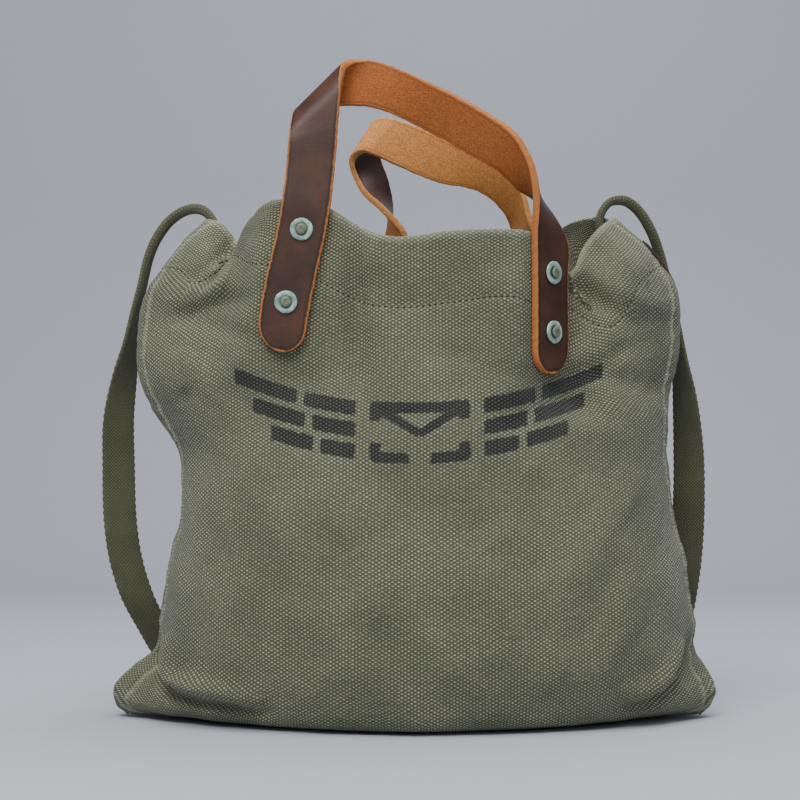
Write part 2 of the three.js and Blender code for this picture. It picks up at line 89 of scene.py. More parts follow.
# ---- Small helpers ----
def smooth_at(knots, values, x):
    """A smooth curve through spaced values, with Catmull-Rom slopes."""
    knots, values, x = (np.asarray(a, float) for a in (knots, values, x))
    last = len(knots) - 1
    i = np.searchsorted(knots[1:last], x, side="left")
    before, after = np.maximum(i - 1, 0), np.minimum(i + 2, last)
    span = knots[i + 1] - knots[i]
    t = np.clip((x - knots[i]) / span, 0, 1)
    m0 = (values[i + 1] - values[before]) / (knots[i + 1] - knots[before]) * span
    m1 = (values[after] - values[i]) / (knots[after] - knots[i]) * span
    t2, t3 = t * t, t * t * t
    return ((2 * t3 - 3 * t2 + 1) * values[i] + (t3 - 2 * t2 + t) * m0
            + (3 * t2 - 2 * t3) * values[i + 1] + (t3 - t2) * m1)


def smoothstep(x, low, high):
    t = np.clip((np.asarray(x, float) - low) / (high - low), 0, 1)
    return t * t * (3 - 2 * t)


def unit(vectors):
    return vectors / np.maximum(np.linalg.norm(vectors, axis=-1, keepdims=True), 1e-9)


def field(u, v, size, seed, waves=14):
    """A smooth random field of about -1 to 1 with features of about that size, in mm."""
    rng = np.random.RandomState(seed)
    total = np.zeros_like(np.asarray(u, float))
    for _ in range(waves):
        angle = rng.uniform(0, math.tau)
        wave = math.tau / (size * rng.uniform(0.7, 1.8))
        phase = rng.uniform(0, math.tau)
        total += np.sin((u * math.cos(angle) + v * math.sin(angle)) * wave + phase)
    return total / math.sqrt(waves / 2) * 0.7


def grid_normals(points):
    along = np.gradient(points, axis=0)
    up = np.gradient(points, axis=1)
    return unit(np.cross(along, up))


def arc_lengths(points, axis):
    """Distance along each row (axis 0) or column (axis 1) of a grid, from its first point."""
    steps = np.linalg.norm(np.diff(points, axis=axis), axis=-1)
    zero = np.zeros_like(np.take(steps, [0], axis=axis))
    return np.concatenate([zero, np.cumsum(steps, axis=axis)], axis=axis)


def make_piece(name, points, faces, uv=None, values=None, look=None):
    """A smooth mesh object from points in mm, with a cloth UV and named point values."""
    mesh = bpy.data.meshes.new(name)
    mesh.from_pydata((np.asarray(points) * MM).tolist(), [], [list(f) for f in faces])
    mesh.polygons.foreach_set("use_smooth", [True] * len(mesh.polygons))
    if uv is not None:
        corner = np.zeros(len(mesh.loops), int)
        mesh.loops.foreach_get("vertex_index", corner)
        layer = mesh.uv_layers.new(name="cloth")
        layer.data.foreach_set("uv", np.asarray(uv, float)[corner].ravel())
    for key, numbers in (values or {}).items():
        attribute = mesh.attributes.new(key, "FLOAT", "POINT")
        attribute.data.foreach_set("value", np.asarray(numbers, np.float32).ravel())
    mesh.update()
    piece = bpy.data.objects.new(name, mesh)
    bpy.context.collection.objects.link(piece)
    if look is not None:
        mesh.materials.append(look)
    return piece


def tube_faces(rings, around):
    """Quads of a tube of rings, each with that many points, and a cap at each end."""
    faces = []
    for i in range(rings - 1):
        for j in range(around):
            a, b = i * around + j, i * around + (j + 1) % around
            faces.append((a, b, b + around, a + around))
    faces.append(tuple(range(around))[::-1])
    faces.append(tuple((rings - 1) * around + j for j in range(around)))
    return faces


def round_angles(count):
    return np.linspace(0, math.tau, count, endpoint=False)


def put_on_sack(piece, slot, *nodes):
    """Makes a piece ride on the sack, in place of its CAD nodes, if it has any. The slot is not used."""
    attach(piece, "sack")
    if nodes:
        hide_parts(*nodes)


# ---- Materials ----
SOCKETS = {"roughness": "Roughness", "metallic": "Metallic", "specular": "Specular IOR Level",
           "sheen_weight": "Sheen Weight", "sheen_roughness": "Sheen Roughness",
           "coat_weight": "Coat Weight", "coat_roughness": "Coat Roughness"}


class Look:
    """A node material, built up from a Principled shader."""

    def __init__(self, name, **sockets):
        self.material = bpy.data.materials.new(name)
        self.material.use_nodes = True
        self.tree = self.material.node_tree
        self.shader = next(n for n in self.tree.nodes if n.type == "BSDF_PRINCIPLED")
        for key, value in sockets.items():
            self.shader.inputs[SOCKETS[key]].default_value = value

    def node(self, kind, inputs=(), **settings):
        node = self.tree.nodes.new("ShaderNode" + kind)
        for key, value in settings.items():
            setattr(node, key, value)
        for key, value in dict(inputs).items():
            self.plug(node.inputs[key], value)
        return node

    def plug(self, socket, value):
        if isinstance(value, bpy.types.NodeSocket):
            self.tree.links.new(value, socket)
        else:
            socket.default_value = value

    def math(self, operation, a, b=0.0):
        node = self.node("Math", operation=operation)
        for socket, value in zip(node.inputs, (a, b)):
            self.plug(socket, value)
        return node.outputs[0]

    def times(self, a, b):
        return self.math("MULTIPLY", a, b)

    def plus(self, a, b):
        return self.math("ADD", a, b)

    def spread(self, value, low, high, to_low=0.0, to_high=1.0):
        node = self.node("MapRange", interpolation_type="SMOOTHSTEP")
        for socket, number in zip(node.inputs, (value, low, high, to_low, to_high)):
            self.plug(socket, number)
        return node.outputs[0]

    def mix(self, factor, a, b, blend="MIX"):
        node = self.node("Mix", data_type="RGBA", blend_type=blend)
        self.plug(node.inputs[0], factor)
        self.plug(node.inputs[6], a)
        self.plug(node.inputs[7], b)
        return node.outputs[2]

    def noise(self, vector, scale, detail=3.0, roughness=0.55):
        node = self.node("TexNoise", {"Vector": vector, "Scale": scale, "Detail": detail,
                                      "Roughness": roughness})
        return node.outputs[0]

    def uv(self):
        return self.node("UVMap", uv_map="cloth").outputs[0]

    def place(self):
        """The point in the piece's own frame, in mm."""
        source = self.node("TexCoord").outputs["Object"]
        return self.node("VectorMath", {0: source, 3: 1 / MM}, operation="SCALE").outputs[0]

    def value(self, name):
        return self.node("Attribute", attribute_name=name).outputs["Fac"]

    def split(self, vector):
        node = self.node("SeparateXYZ", {0: vector})
        return node.outputs[0], node.outputs[1]

    def color(self, socket):
        self.plug(self.shader.inputs["Base Color"], socket)

    def rough(self, socket):
        self.plug(self.shader.inputs["Roughness"], socket)

    def bump(self, height, distance, strength=1.0):
        """Raises the surface by height (0 to 1) times distance in mm."""
        node = self.node("Bump", {"Strength": strength, "Distance": distance * MM, "Height": height})
        self.tree.links.new(node.outputs[0], self.shader.inputs["Normal"])


def srgb(red, green, blue):
    """A linear colour from its 0 to 255 display values."""
    def one(value):
        value /= 255
        return value / 12.92 if value <= 0.04045 else ((value + 0.055) / 1.055) ** 2.4
    return (one(red), one(green), one(blue), 1.0)


WEAVE_ACROSS = 3.3
WEAVE_UP = 1.96


def weave_height(look, uv, across, up):
    """The staggered bumps of a plain weave, narrow across, from -1 in the gaps to 1 on the bumps."""
    x, y = look.split(uv)
    first = look.math("COSINE", look.times(x, math.tau / across))
    first = look.times(first, look.math("ABSOLUTE", first))
    second = look.math("COSINE", look.times(y, math.tau / up))
    return look.times(first, second)


def shaken(look, uv, size, amount):
    """The same coordinates, wandering by that many mm over features of that size."""
    node = look.node("TexNoise", {"Vector": uv, "Scale": 1 / size, "Detail": 2.0})
    middle = look.node("VectorMath", {0: node.outputs[1], 1: (0.5, 0.5, 0.5)}, operation="SUBTRACT")
    scaled = look.node("VectorMath", {0: middle.outputs[0], 3: amount}, operation="SCALE")
    return look.node("VectorMath", {0: uv, 1: scaled.outputs[0]}, operation="ADD").outputs[0]


def canvas_look(name, ink=False):
    look = Look(name, roughness=0.93, specular=0.2, sheen_weight=0.12, sheen_roughness=0.6)
    uv = shaken(look, look.uv(), 9.0, 1.1)
    weave = weave_height(look, uv, WEAVE_ACROSS, WEAVE_UP)
    patch = look.noise(look.uv(), 0.018, 3.0)
    thread = look.noise(look.uv(), 0.45, 2.0, 0.6)
    dots = look.spread(look.plus(weave, look.times(thread, 0.5)), 0.22, 1.0)
    worn = look.value("wear")
    dots = look.times(dots, look.spread(patch, 0.3, 0.7, 0.62, 1.0))
    ground = look.mix(look.spread(patch, 0.32, 0.68), srgb(76, 78, 60), srgb(87, 88, 68))
    light = look.mix(look.spread(thread, 0.3, 0.7), srgb(160, 161, 135), srgb(190, 190, 163))
    dots = look.plus(dots, look.times(worn, 0.35))
    if ink:
        edge = look.plus(look.value("ink"), look.times(look.math("SUBTRACT", thread, 0.5), 2.2))
        covered = look.times(look.spread(edge, -0.5, 0.5, 1.0, 0.0),
                             look.spread(patch, 0.25, 0.6, 0.92, 0.99))
        ground = look.mix(covered, ground, srgb(36, 37, 34))
        light = look.mix(covered, light, srgb(96, 98, 90))
    tint = look.mix(dots, ground, light)
    look.color(look.mix(look.times(worn, 0.5), tint, srgb(134, 134, 112)))
    height = look.plus(look.times(weave, 0.5), look.times(thread, 0.5))
    look.bump(height, 0.55, 0.8)
    return look.material


def webbing_look():
    look = Look("olive_webbing", roughness=0.9, specular=0.2, sheen_weight=0.15, sheen_roughness=0.6)
    uv = shaken(look, look.uv(), 6.0, 0.4)
    weave = weave_height(look, uv, 1.9, 1.9)
    patch = look.noise(look.uv(), 0.03, 3.0)
    thread = look.noise(look.uv(), 0.8, 2.0)
    dots = look.spread(weave, 0.0, 0.9)
    ground = look.mix(look.spread(patch, 0.3, 0.7), srgb(72, 72, 52), srgb(88, 87, 64))
    light = look.mix(thread, srgb(104, 104, 78), srgb(126, 126, 98))
    look.color(look.mix(dots, ground, light))
    look.bump(look.plus(look.times(weave, 0.5), look.times(thread, 0.4)), 0.4, 0.9)
    return look.material


def leather_look(name, dark, lit, flesh_dark, flesh_light, edge_color):
    """Leather with a polished grain face, a fuzzy flesh face and a tan cut edge. The point value
    side is 1 on the grain, 0 on the flesh, and rim is the distance from the cut edge in mm."""
    look = Look(name, roughness=0.45, coat_weight=0.1, coat_roughness=0.3, specular=0.36)
    place = look.place()
    side, rim = look.value("side"), look.value("rim")
    broad = look.noise(place, 0.045, 3.0)
    fine = look.noise(place, 0.9, 4.0, 0.6)
    speck = look.noise(place, 1.3, 5.0, 0.75)
    lumps = look.noise(place, 0.35, 3.0, 0.6)
    creases = look.noise(look.node("VectorMath", {0: look.uv(), 1: (0.12, 0.9, 1.0)},
                                   operation="MULTIPLY").outputs[0], 1.0, 3.0, 0.6)
    grain = look.mix(look.spread(broad, 0.2, 0.85), dark, lit)
    grain = look.mix(look.spread(creases, 0.5, 0.7, 0.0, 0.45), grain, dark)
    grain = look.mix(look.spread(fine, 0.5, 0.8, 0.0, 0.25), grain, dark)
    flesh = look.mix(look.spread(speck, 0.35, 0.65), flesh_dark, flesh_light)
    flesh = look.mix(look.spread(lumps, 0.5, 0.75, 0.0, 0.5), flesh, flesh_dark)
    cut = look.mix(look.spread(speck, 0.3, 0.65), edge_color, flesh_light)
    wander = look.times(look.math("SUBTRACT", fine, 0.5), 1.2)
    near_cut = look.spread(look.plus(rim, wander), 0.6, 1.3, 1.0, 0.0)
    groove = look.times(look.spread(rim, 1.0, 1.9), look.spread(rim, 1.9, 2.8, 1.0, 0.0))
    face = look.mix(look.spread(side, 0.4, 0.6), flesh, grain)
    face = look.mix(look.times(groove, 0.7), face,
                    look.mix(look.spread(side, 0.4, 0.6), flesh_dark, srgb(24, 12, 8)))
    look.color(look.mix(near_cut, face, cut))
    smooth = look.spread(fine, 0.3, 0.7, 0.34, 0.48)
    fuzzy = look.math("SUBTRACT", 1.0, look.times(look.spread(side, 0.4, 0.6),
                                                  look.math("SUBTRACT", 1.0, near_cut)))
    look.rough(look.plus(smooth, look.times(fuzzy, 0.5)))
    pores = look.node("TexVoronoi", {"Vector": place, "Scale": 1.1}, feature="DISTANCE_TO_EDGE")
    creased = look.plus(look.spread(pores.outputs["Distance"], 0.0, 0.12), creases)
    height = look.plus(look.times(creased, 0.25), look.times(look.plus(fine, speck), 0.5))
    height = look.plus(height, look.times(look.times(lumps, fuzzy), 1.2))
    look.bump(height, 0.3, look.plus(0.35, look.times(fuzzy, 0.65)))
    return look.material


def copper_look():
    """Copper gone green: pale blue verdigris, darker in the hollows, bare and brown on the peen."""
    look = Look("green_copper", roughness=0.55, metallic=0.25)
    place = look.place()
    patch = look.noise(place, 0.35, 4.0, 0.6)
    fine = look.noise(place, 1.6, 4.0, 0.7)
    bare = look.value("bare")
    crust = look.mix(look.spread(patch, 0.35, 0.66), srgb(122, 156, 146), srgb(188, 208, 198))
    crust = look.mix(look.spread(fine, 0.55, 0.75, 0.0, 0.6), crust, srgb(104, 92, 70))
    metal = look.mix(look.spread(fine, 0.35, 0.65), srgb(66, 66, 46), srgb(124, 120, 92))
    look.color(look.mix(bare, crust, metal))
    look.rough(look.spread(fine, 0.3, 0.7, 0.4, 0.75))
    look.bump(look.plus(fine, patch), 0.18, 0.8)
    return look.material


def thread_look(name, dark, light):
    look = Look(name, roughness=0.85, specular=0.2)
    fine = look.noise(look.place(), 1.2, 3.0)
    look.color(look.mix(fine, dark, light))
    look.bump(fine, 0.1, 0.6)
    return look.material


FRONT_CANVAS = canvas_look("olive_canvas_stencilled", ink=True)
CANVAS = canvas_look("olive_canvas")
WEBBING = webbing_look()
GRAIN_DARK, GRAIN_LIT = srgb(50, 27, 17), srgb(88, 52, 36)
# Both handles are one leather. The front strap's flesh colours are darker, as painted shade, and the back
# strap's are lighter, as painted light, for how the light falls on each arch. Their grain and edge
# colours are the same.
FRONT_LEATHER_PAINTED_SHADE = leather_look("front_strap_leather_painted_shade", GRAIN_DARK, GRAIN_LIT,
                             srgb(142, 74, 30), srgb(194, 116, 56), srgb(168, 108, 60))
BACK_LEATHER_PAINTED_LIGHT = leather_look("back_strap_leather_painted_light", GRAIN_DARK, GRAIN_LIT,
                            srgb(188, 112, 50), srgb(236, 168, 96), srgb(168, 108, 60))
# The tab leather's colours are the strap leather's tones darkened nearly to black, as painted shade for
# the tab's deep shade beside the back panel.
TAB_LEATHER_PAINTED_SHADE = leather_look("tab_leather", srgb(22, 15, 12), srgb(40, 26, 19),
                           srgb(48, 35, 25), srgb(70, 52, 38), srgb(44, 32, 24))
COPPER = copper_look()
THREAD = thread_look("dark_thread", srgb(34, 34, 25), srgb(66, 64, 47))
SEAM_THREAD = thread_look("olive_thread", srgb(84, 85, 62), srgb(140, 141, 112))


# ---- Straps as ruled bands between two edges ----
RING_SPACING = 0.9


def catmull(points, places):
    """The centripetal Catmull-Rom curve through points, at places counted in points."""
    p = np.asarray(points, float)
    last = len(p) - 1
    first = p[0] + (p[0] - p[1])
    end = p[-1] + (p[-1] - p[-2])
    padded = np.vstack([first, p, end])
    places = np.clip(np.asarray(places, float), 0, last)
    i = np.minimum(places.astype(int), last - 1)
    w = (places - i)[:, None]
    p0, p1, p2, p3 = (padded[i + k] for k in range(4))
    gap = [np.maximum(np.sum((a - b) ** 2, axis=1) ** 0.25, 1e-4)[:, None]
           for a, b in ((p0, p1), (p1, p2), (p2, p3))]
    t1 = ((p1 - p0) / gap[0] - (p2 - p0) / (gap[0] + gap[1]) + (p2 - p1) / gap[1]) * gap[1]
    t2 = ((p2 - p1) / gap[1] - (p3 - p1) / (gap[1] + gap[2]) + (p3 - p2) / gap[2]) * gap[1]
    return (p1 + t1 * w + (-3 * p1 + 3 * p2 - 2 * t1 - t2) * w ** 2
            + (2 * p1 - 2 * p2 + t1 + t2) * w ** 3)


class Strap:
    def __init__(self, stations):
        self.near_edge = [s[0] for s in stations]
        self.far_edge = [s[1] for s in stations]
        self.last = len(stations) - 1

    def near(self, places):
        return catmull(self.near_edge, places)

    def far(self, places):
        return catmull(self.far_edge, places)

    def middle(self, places):
        return (self.near(places) + self.far(places)) / 2

    def normal(self, places):
        places = np.asarray(places, float)
        along = self.middle(np.minimum(places + 0.05, self.last)) - self.middle(
            np.maximum(places - 0.05, 0))
        return unit(np.cross(along, self.near(places) - self.far(places)))

    def even_places(self, spacing):
        """Places spaced evenly along the strap, and how far along each is, in mm."""
        fine = np.linspace(0, self.last, self.last * 60 + 1)
        run = arc_lengths(self.middle(fine)[:, None], 0)[:, 0]
        count = int(run[-1] / spacing)
        even = np.linspace(0, run[-1], count + 1)
        return np.interp(even, run, fine), even

    def rings(self):
        """Even places, how far along they are, and the middle, width and directions there."""
        places, run = self.even_places(RING_SPACING)
        across = self.near(places) - self.far(places)
        width = np.linalg.norm(across, axis=1)
        return places, run, self.middle(places), width, unit(across), self.normal(places)


# ---- Shoulder strap (a free cord, so it comes first) ----
# Each row is a station: x, y, z, the way the width points in plan, the width and the thickness.
SHOULDER_STRAP = [
    (-133.5, 17, 190, 44, 19, 2), (-132, 13.5, 232, 55, 19, 2),
    (-121, 10, 250.5, 66, 13, 2.6), (-109.5, 3, 262, 80, 10, 4),
    (-110, 3, 272, 90, 8, 5), (-117, 6, 280.5, 90, 8, 6),
    (-127, 11, 281.5, 90, 8, 6), (-136, 13, 276.5, 90, 8, 6),
    (-143.4, 14, 267.5, 90, 8, 6), (-148.7, 15, 256, 86, 9, 5.5),
    (-152.6, 16, 239.6, 82, 10, 5), (-156, 17, 225, 76, 12, 4),
    (-159, 18, 207, 66, 15, 3), (-162.5, 19, 189, 52, 18, 2.4),
    (-166, 20, 164, 36, 19, 2), (-166, 21, 138, 28, 19, 2),
    (-165, 22, 107, 24, 19, 2), (-162, 24, 85, 20, 19, 2),
    (-156, 28, 64, 12, 19, 2), (-148, 36, 46, 0, 19, 2),
    (-139, 50, 26, -18, 19, 2), (-126, 68, 10, -42, 19, 2),
    (-104, 90, 2, -62, 19, 2), (-72, 106, 1.2, -74, 19, 2),
    (-30, 114, 1.2, -86, 19, 2), (15, 113, 1.2, -96, 19, 2),
    (58, 106, 1.2, -106, 19, 2), (98, 92, 2, -118, 19, 2),
    (125, 74, 9, -136, 19, 2), (141, 55, 26, -160, 19, 2),
    (149, 40, 48, -184, 19, 2), (153, 32, 73, -196, 19, 2),
    (155, 27, 96, -204, 19, 2), (156, 24, 126, -212, 19, 2),
    (155.5, 23, 152, -220, 19, 2), (153.5, 22, 178, -234, 18, 2.4),
    (151.5, 24, 197, -246, 15, 3), (150, 26.5, 214, -256, 12, 4),
    (147.5, 27, 230, -262, 10, 5), (144, 24.5, 244, -266, 9, 5.5),
    (140, 20, 257, -270, 8, 6), (134.5, 15, 270, -270, 8, 6),
    (127, 12, 281, -270, 8, 6), (119, 9, 286, -270, 8, 6),
    (110, 6, 284.5, -270, 8, 5), (104.5, 3.5, 276, -270, 8, 5),
    (106, 3.5, 264, -260, 10, 4), (119.5, 10, 249, -246, 13, 2.6),
    (130.5, 13.5, 232, -235, 19, 2), (129, 17, 190, -224, 19, 2),
]
WEBBING_WIDTH = 19
SELVEDGE_PITCH = 3.9


def webbing_stations():
    stations = []
    for x, y, z, turn, width, _ in SHOULDER_STRAP:
        angle = math.radians(turn)
        dx, dy = math.cos(angle) * width / 2, math.sin(angle) * width / 2
        stations.append(((x - dx, y - dy, z), (x + dx, y + dy, z)))
    return stations


def make_shoulder_strap():
    strap = Strap(webbing_stations())
    places, run, middle, width, across, normal = strap.rings()
    knots = np.arange(len(SHOULDER_STRAP))
    thick = np.interp(places, knots, [s[5] for s in SHOULDER_STRAP])
    around = 28
    angle = round_angles(around)
    # Flat webbing is nearly square in section. Where it is thick it is folded, and rounder.
    folded = smoothstep(thick, 2.2, 5)
    rows = []
    uv = []
    for i in range(len(places)):
        square = 4 - 1.6 * folded[i]
        c, s = np.cos(angle), np.sin(angle)
        w = np.sign(c) * np.abs(c) ** (2 / square) * width[i] / 2
        t = np.sign(s) * np.abs(s) ** (2 / square) * thick[i] / 2
        crease = folded[i] * 1.3 * np.exp(-((w / width[i]) * 5) ** 2) * (s > 0)
        t = t - crease * np.sign(s)
        bite = 0.28 * np.sin(run[i] * math.tau / SELVEDGE_PITCH) * np.abs(c) ** 8 * (1 - folded[i])
        w = w + np.sign(c) * bite
        rows.append(middle[i] + w[:, None] * across[i] + t[:, None] * normal[i])
        scale = WEBBING_WIDTH / max(width[i], 1)
        uv.append(np.stack([w * scale + 40 * (s < 0), np.full(around, run[i])], 1))
    points = np.array(rows)
    uv = np.array(uv)
    piece = make_piece("webbing", points.reshape(-1, 3), tube_faces(len(points), around),
                       uv.reshape(-1, 2), look=WEBBING)
    put_on_sack(piece, "webbing", "shoulder_strap")


make_shoulder_strap()

# ---- The shape of the sack ----
# Level lines from the bottom fold to the rim: step, the seam's height, its reach to the left and
# right, and the height, bulge and roundness at the middle.
LEVELS = np.array([
    (0.0, 2, 156, 157, 0, 0, 2), (0.08, 8, 162.5, 163, 0, 32, 1.5),
    (0.15, 17, 163, 165, 0, 60, 1.5), (0.21, 27, 153, 160, 4, 79, 1.6),
    (0.27, 37, 141, 154, 18, 85, 1.8), (0.34, 54, 138, 153, 38, 86, 2),
    (0.45, 82, 133, 149, 74, 85, 2.1), (0.56, 112, 126.5, 142, 112, 81, 2.1),
    (0.67, 144, 128, 139, 148, 76, 2), (0.78, 178, 147, 141, 184, 68, 1.9),
    (0.88, 212, 151.5, 147, 216, 62, 1.8), (0.94, 240, 142, 142, 236, 61, 1.8),
    (1.0, 273, 115, 112, 256, 60, 1.9),
])
SEAM_RIM_Z, MIDDLE_RIM_Z = LEVELS[-1, 1], LEVELS[-1, 4]
# The top edge of each panel: x and z.
FRONT_RIM = [
    (-116, 273), (-107, 270), (-101, 264), (-97, 258.5), (-84, 270), (-70, 275), (-46, 271),
    (-30, 262), (-17, 256), (0, 255), (22, 258), (44, 257), (60, 255.5), (69, 250.5),
    (75, 243), (81, 236), (86, 239), (90, 248), (95, 257), (103, 266), (112, 273),
]
BACK_RIM = [
    (-116, 273), (-106, 264), (-96, 256), (-78, 257), (-50, 260), (-20, 262), (30, 256),
    (68, 262), (84, 274), (100, 277), (112, 273),
]
# Where cloth is pushed or pulled: centre (x, z), half-widths, turn in degrees, how far it goes.
FRONT_FOLDS = [
    ((-97, 256), (10, 34), -22, (1, 13, 0)), ((-30, 210), (10, 60), -4, (0, 6, 0)),
    ((58, 230), (16, 54), 0, (1, -5, 0)), ((90, 252), (12, 50), 0, (0, 4, 0)),
    ((112, 238), (12, 26), 30, (2, -5, 0)), ((84, 186), (60, 7), 8, (0, 6, 0)),
    ((-121, 216), (26, 9), 8, (2, 4, 0)),
]
BACK_FOLDS = [
    ((22, 250), (20, 70), 0, (0, -22, 0)), ((-22, 240), (12, 50), 0, (0, 5, 0)),
    ((-95, 250), (12, 45), -15, (0, -14, 0)), ((98, 250), (12, 45), 15, (0, -14, 0)),
]
# Riveted strap ends hold the cloth flat: lower and upper middle, and the way the strap faces.
FRONT_HELD = [((-70, -61, 188), (-54, -61, 272), (0, -1, 0)),
              ((72, -58.5, 174), (72, -58.5, 256), (0.707, -0.707, 0))]
BACK_HELD = [((-36, 61, 176), (-20, 61, 252), (0, 1, 0)),
             ((69, 60, 174), (69, 60, 252), (0.431, 0.902, 0))]
HELD_DEPTH = 2.7
HELD_WIDTH = 17
HELD_FADE = 20
# Half the gap between the two panels where they meet, and the least that detail leaves of it.
HALF_GAP = 0.15
LEAST_GAP = 0.1


def held_place(points, low, high, out):
    """Where points lie on a riveted leg: outwards, sideways and along it, and its length."""
    low, high, out = (np.array(v, float) for v in (low, high, out))
    length = np.linalg.norm(high - low)
    along = (high - low) / length
    offset = points - low
    return offset @ out, np.abs(offset @ np.cross(along, out)), offset @ along, length


def press_flat(points, low, high, out):
    """The cloth pressed flat, a little below the leg's middle, where a leg is riveted on."""
    height, aside, run, length = held_place(points, low, high, out)
    weight = ((1 - smoothstep(aside, HELD_WIDTH, HELD_WIDTH + HELD_FADE))
              * smoothstep(run, -HELD_FADE, 0) * (1 - smoothstep(run, length + 12, length + 40)))
    return points + (weight * (-HELD_DEPTH - height))[..., None] * np.array(out, float)


def panel_points(side, across, step):
    """Points of a panel's outer face, close to the CAD's: only the rim and the bottom corners
    differ by a few mm."""
    across, step = np.broadcast_arrays(np.asarray(across, float), np.asarray(step, float))
    seam_z, left, right, mid_z, bulge, roundness = (
        smooth_at(LEVELS[:, 0], LEVELS[:, k], step) for k in range(1, 7))
    angle = across * math.pi / 2
    power = 2 / roundness
    reach = np.where(across < 0, left, right)
    x = reach * np.sign(across) * np.abs(np.sin(angle)) ** power
    y = bulge * np.maximum(np.cos(angle), 0) ** power
    edge = np.abs(across) ** 3
    z = mid_z + (seam_z - mid_z) * edge
    rim = np.array(FRONT_RIM if side < 0 else BACK_RIM, float)
    # In front the rim's dips run down along the cloth, so each column follows its own rim point.
    rim_x = np.where(across < 0, LEVELS[-1, 2], LEVELS[-1, 3]) * np.sign(across) * np.abs(
        np.sin(angle)) ** (2 / LEVELS[-1, 6])
    rim_z = smooth_at(rim[:, 0], rim[:, 1], rim_x if side < 0 else x)
    plain_rim_z = MIDDLE_RIM_Z + (SEAM_RIM_Z - MIDDLE_RIM_Z) * edge
    z = z + (rim_z - plain_rim_z) * smoothstep(step, 0.82, 1)
    points = np.stack([x, side * (y + HALF_GAP), np.maximum(z, 0)], -1)
    for centre, size, turn, move in FRONT_FOLDS if side < 0 else BACK_FOLDS:
        turn = math.radians(turn)
        dx, dz = x - centre[0], z - centre[1]
        u = (dx * math.cos(turn) - dz * math.sin(turn)) / size[0]
        v = (dx * math.sin(turn) + dz * math.cos(turn)) / size[1]
        weight = np.exp(-u * u - v * v) * (1 - edge ** 3) * np.minimum(1, step * 4)
        points = points + weight[..., None] * np.array(move, float)
    upper = (step > 0.6)[..., None]
    for leg in FRONT_HELD if side < 0 else BACK_HELD:
        points = np.where(upper, press_flat(points, *leg), points)
    return points


# ---- Canvas panels ----
PANEL_COLUMNS = 280
PANEL_ROWS = 210
LEVEL_ROW = 118
CANVAS_THICKNESS = 1.6
HEM_DEPTH = 36
HEM_EXTRA = 1.1
SEAM_FOLD = 15
PUCKER_PITCH = 6.5
FELL_PITCH = 8
# Rows of points that roll over the rim, and an ink value far outside any ink.
RIM_ROWS = 6
NO_INK = 9.0


# Creases too fine for the CAD: points (x, z) along the crease, its half-width, and how far the
# cloth goes in (positive) or out along it. A lip also lifts the cloth on its left-hand side.
FRONT_CREASES = [
    ([(-33, 246), (-30, 230), (-28, 205), (-27, 168)], 5, 1.6, 0),
    ([(-20, 236), (-17, 212), (-15, 190)], 6, -0.8, 0),
    ([(-112, 212), (-92, 206), (-76, 200)], 4.5, 1.6, 1.0),
    ([(-128, 217), (-116, 220), (-101, 225), (-88, 224)], 4.5, 4.0, 1.8),
    ([(-136, 206), (-118, 200), (-98, 188)], 6, 1.2, 0.8),
    ([(-128, 241), (-112, 238), (-100, 242)], 4, 1.4, 0),
    ([(-124, 179), (-121, 169)], 5, 3.0, 0),
    ([(-98, 262), (-101, 250), (-107, 239), (-114, 229)], 4.5, 6.0, 3.2),
    ([(40, 186), (60, 183), (86, 185), (98, 190), (113, 199), (135, 208)], 5, 1.9, 1.8),
    ([(84, 240), (92, 231), (102, 222), (112, 217)], 5.5, 4.5, 2.5),
    ([(104, 232), (120, 226), (140, 224)], 6, -1.8, 0),
    ([(112, 210), (124, 214), (140, 216)], 5, 1.6, 0),
    ([(104, 262), (110, 252), (114, 240)], 6, -2.0, 0),
    ([(109, 99), (116, 110), (122, 122)], 5, 1.0, 0.8),
    ([(140, 82), (122, 76), (98, 62)], 9, -1.0, 0),
    ([(-128, 86), (-122, 76), (-118, 66)], 8, -0.9, 0),
    ([(-140, 44), (-137, 36), (-134.5, 26), (-130, 18), (-118, 15), (-105, 13), (-91, 11), (-76, 10)],
     4.0, 7.0, 8.5, 0.45),
    ([(106, 12), (120, 12), (134, 18), (143, 29), (150, 42)], 4, 5.5, 5.5, 0.3),
    ([(147, 20), (150, 26), (152, 31)], 4, 1.6, 0),
    ([(93, 17), (105, 42), (119, 68)], 7, -2.0, 0),
    ([(78, 30), (90, 52), (104, 80)], 7, 1.2, 0),
    ([(10, 222), (30, 226), (46, 224)], 6, 0.6, 0),
    ([(-8, 120), (20, 112), (60, 116)], 14, -0.8, 0),
    ([(-60, 60), (-20, 50), (30, 54)], 14, 0.7, 0),
]
BACK_CREASES = [
    ([(22, 256), (20, 225), (12, 185)], 5, 2.2, 0),
    ([(-20, 180), (10, 172), (50, 176)], 6, 1.2, 1.0),
    ([(-98, 250), (-92, 225), (-80, 200)], 6, 1.6, 0),
    ([(98, 250), (94, 225), (84, 200)], 6, 1.6, 0),
    ([(-138, 44), (-134, 30), (-120, 20), (-96, 13)], 5, 2.8, 2.4),
    ([(104, 14), (124, 22), (142, 34), (148, 48)], 5, 2.8, 2.4),
    ([(-110, 140), (-80, 128), (-50, 130)], 9, 1.0, 0.8),
    ([(60, 110), (90, 102), (124, 112)], 9, 1.0, 0.8),
]


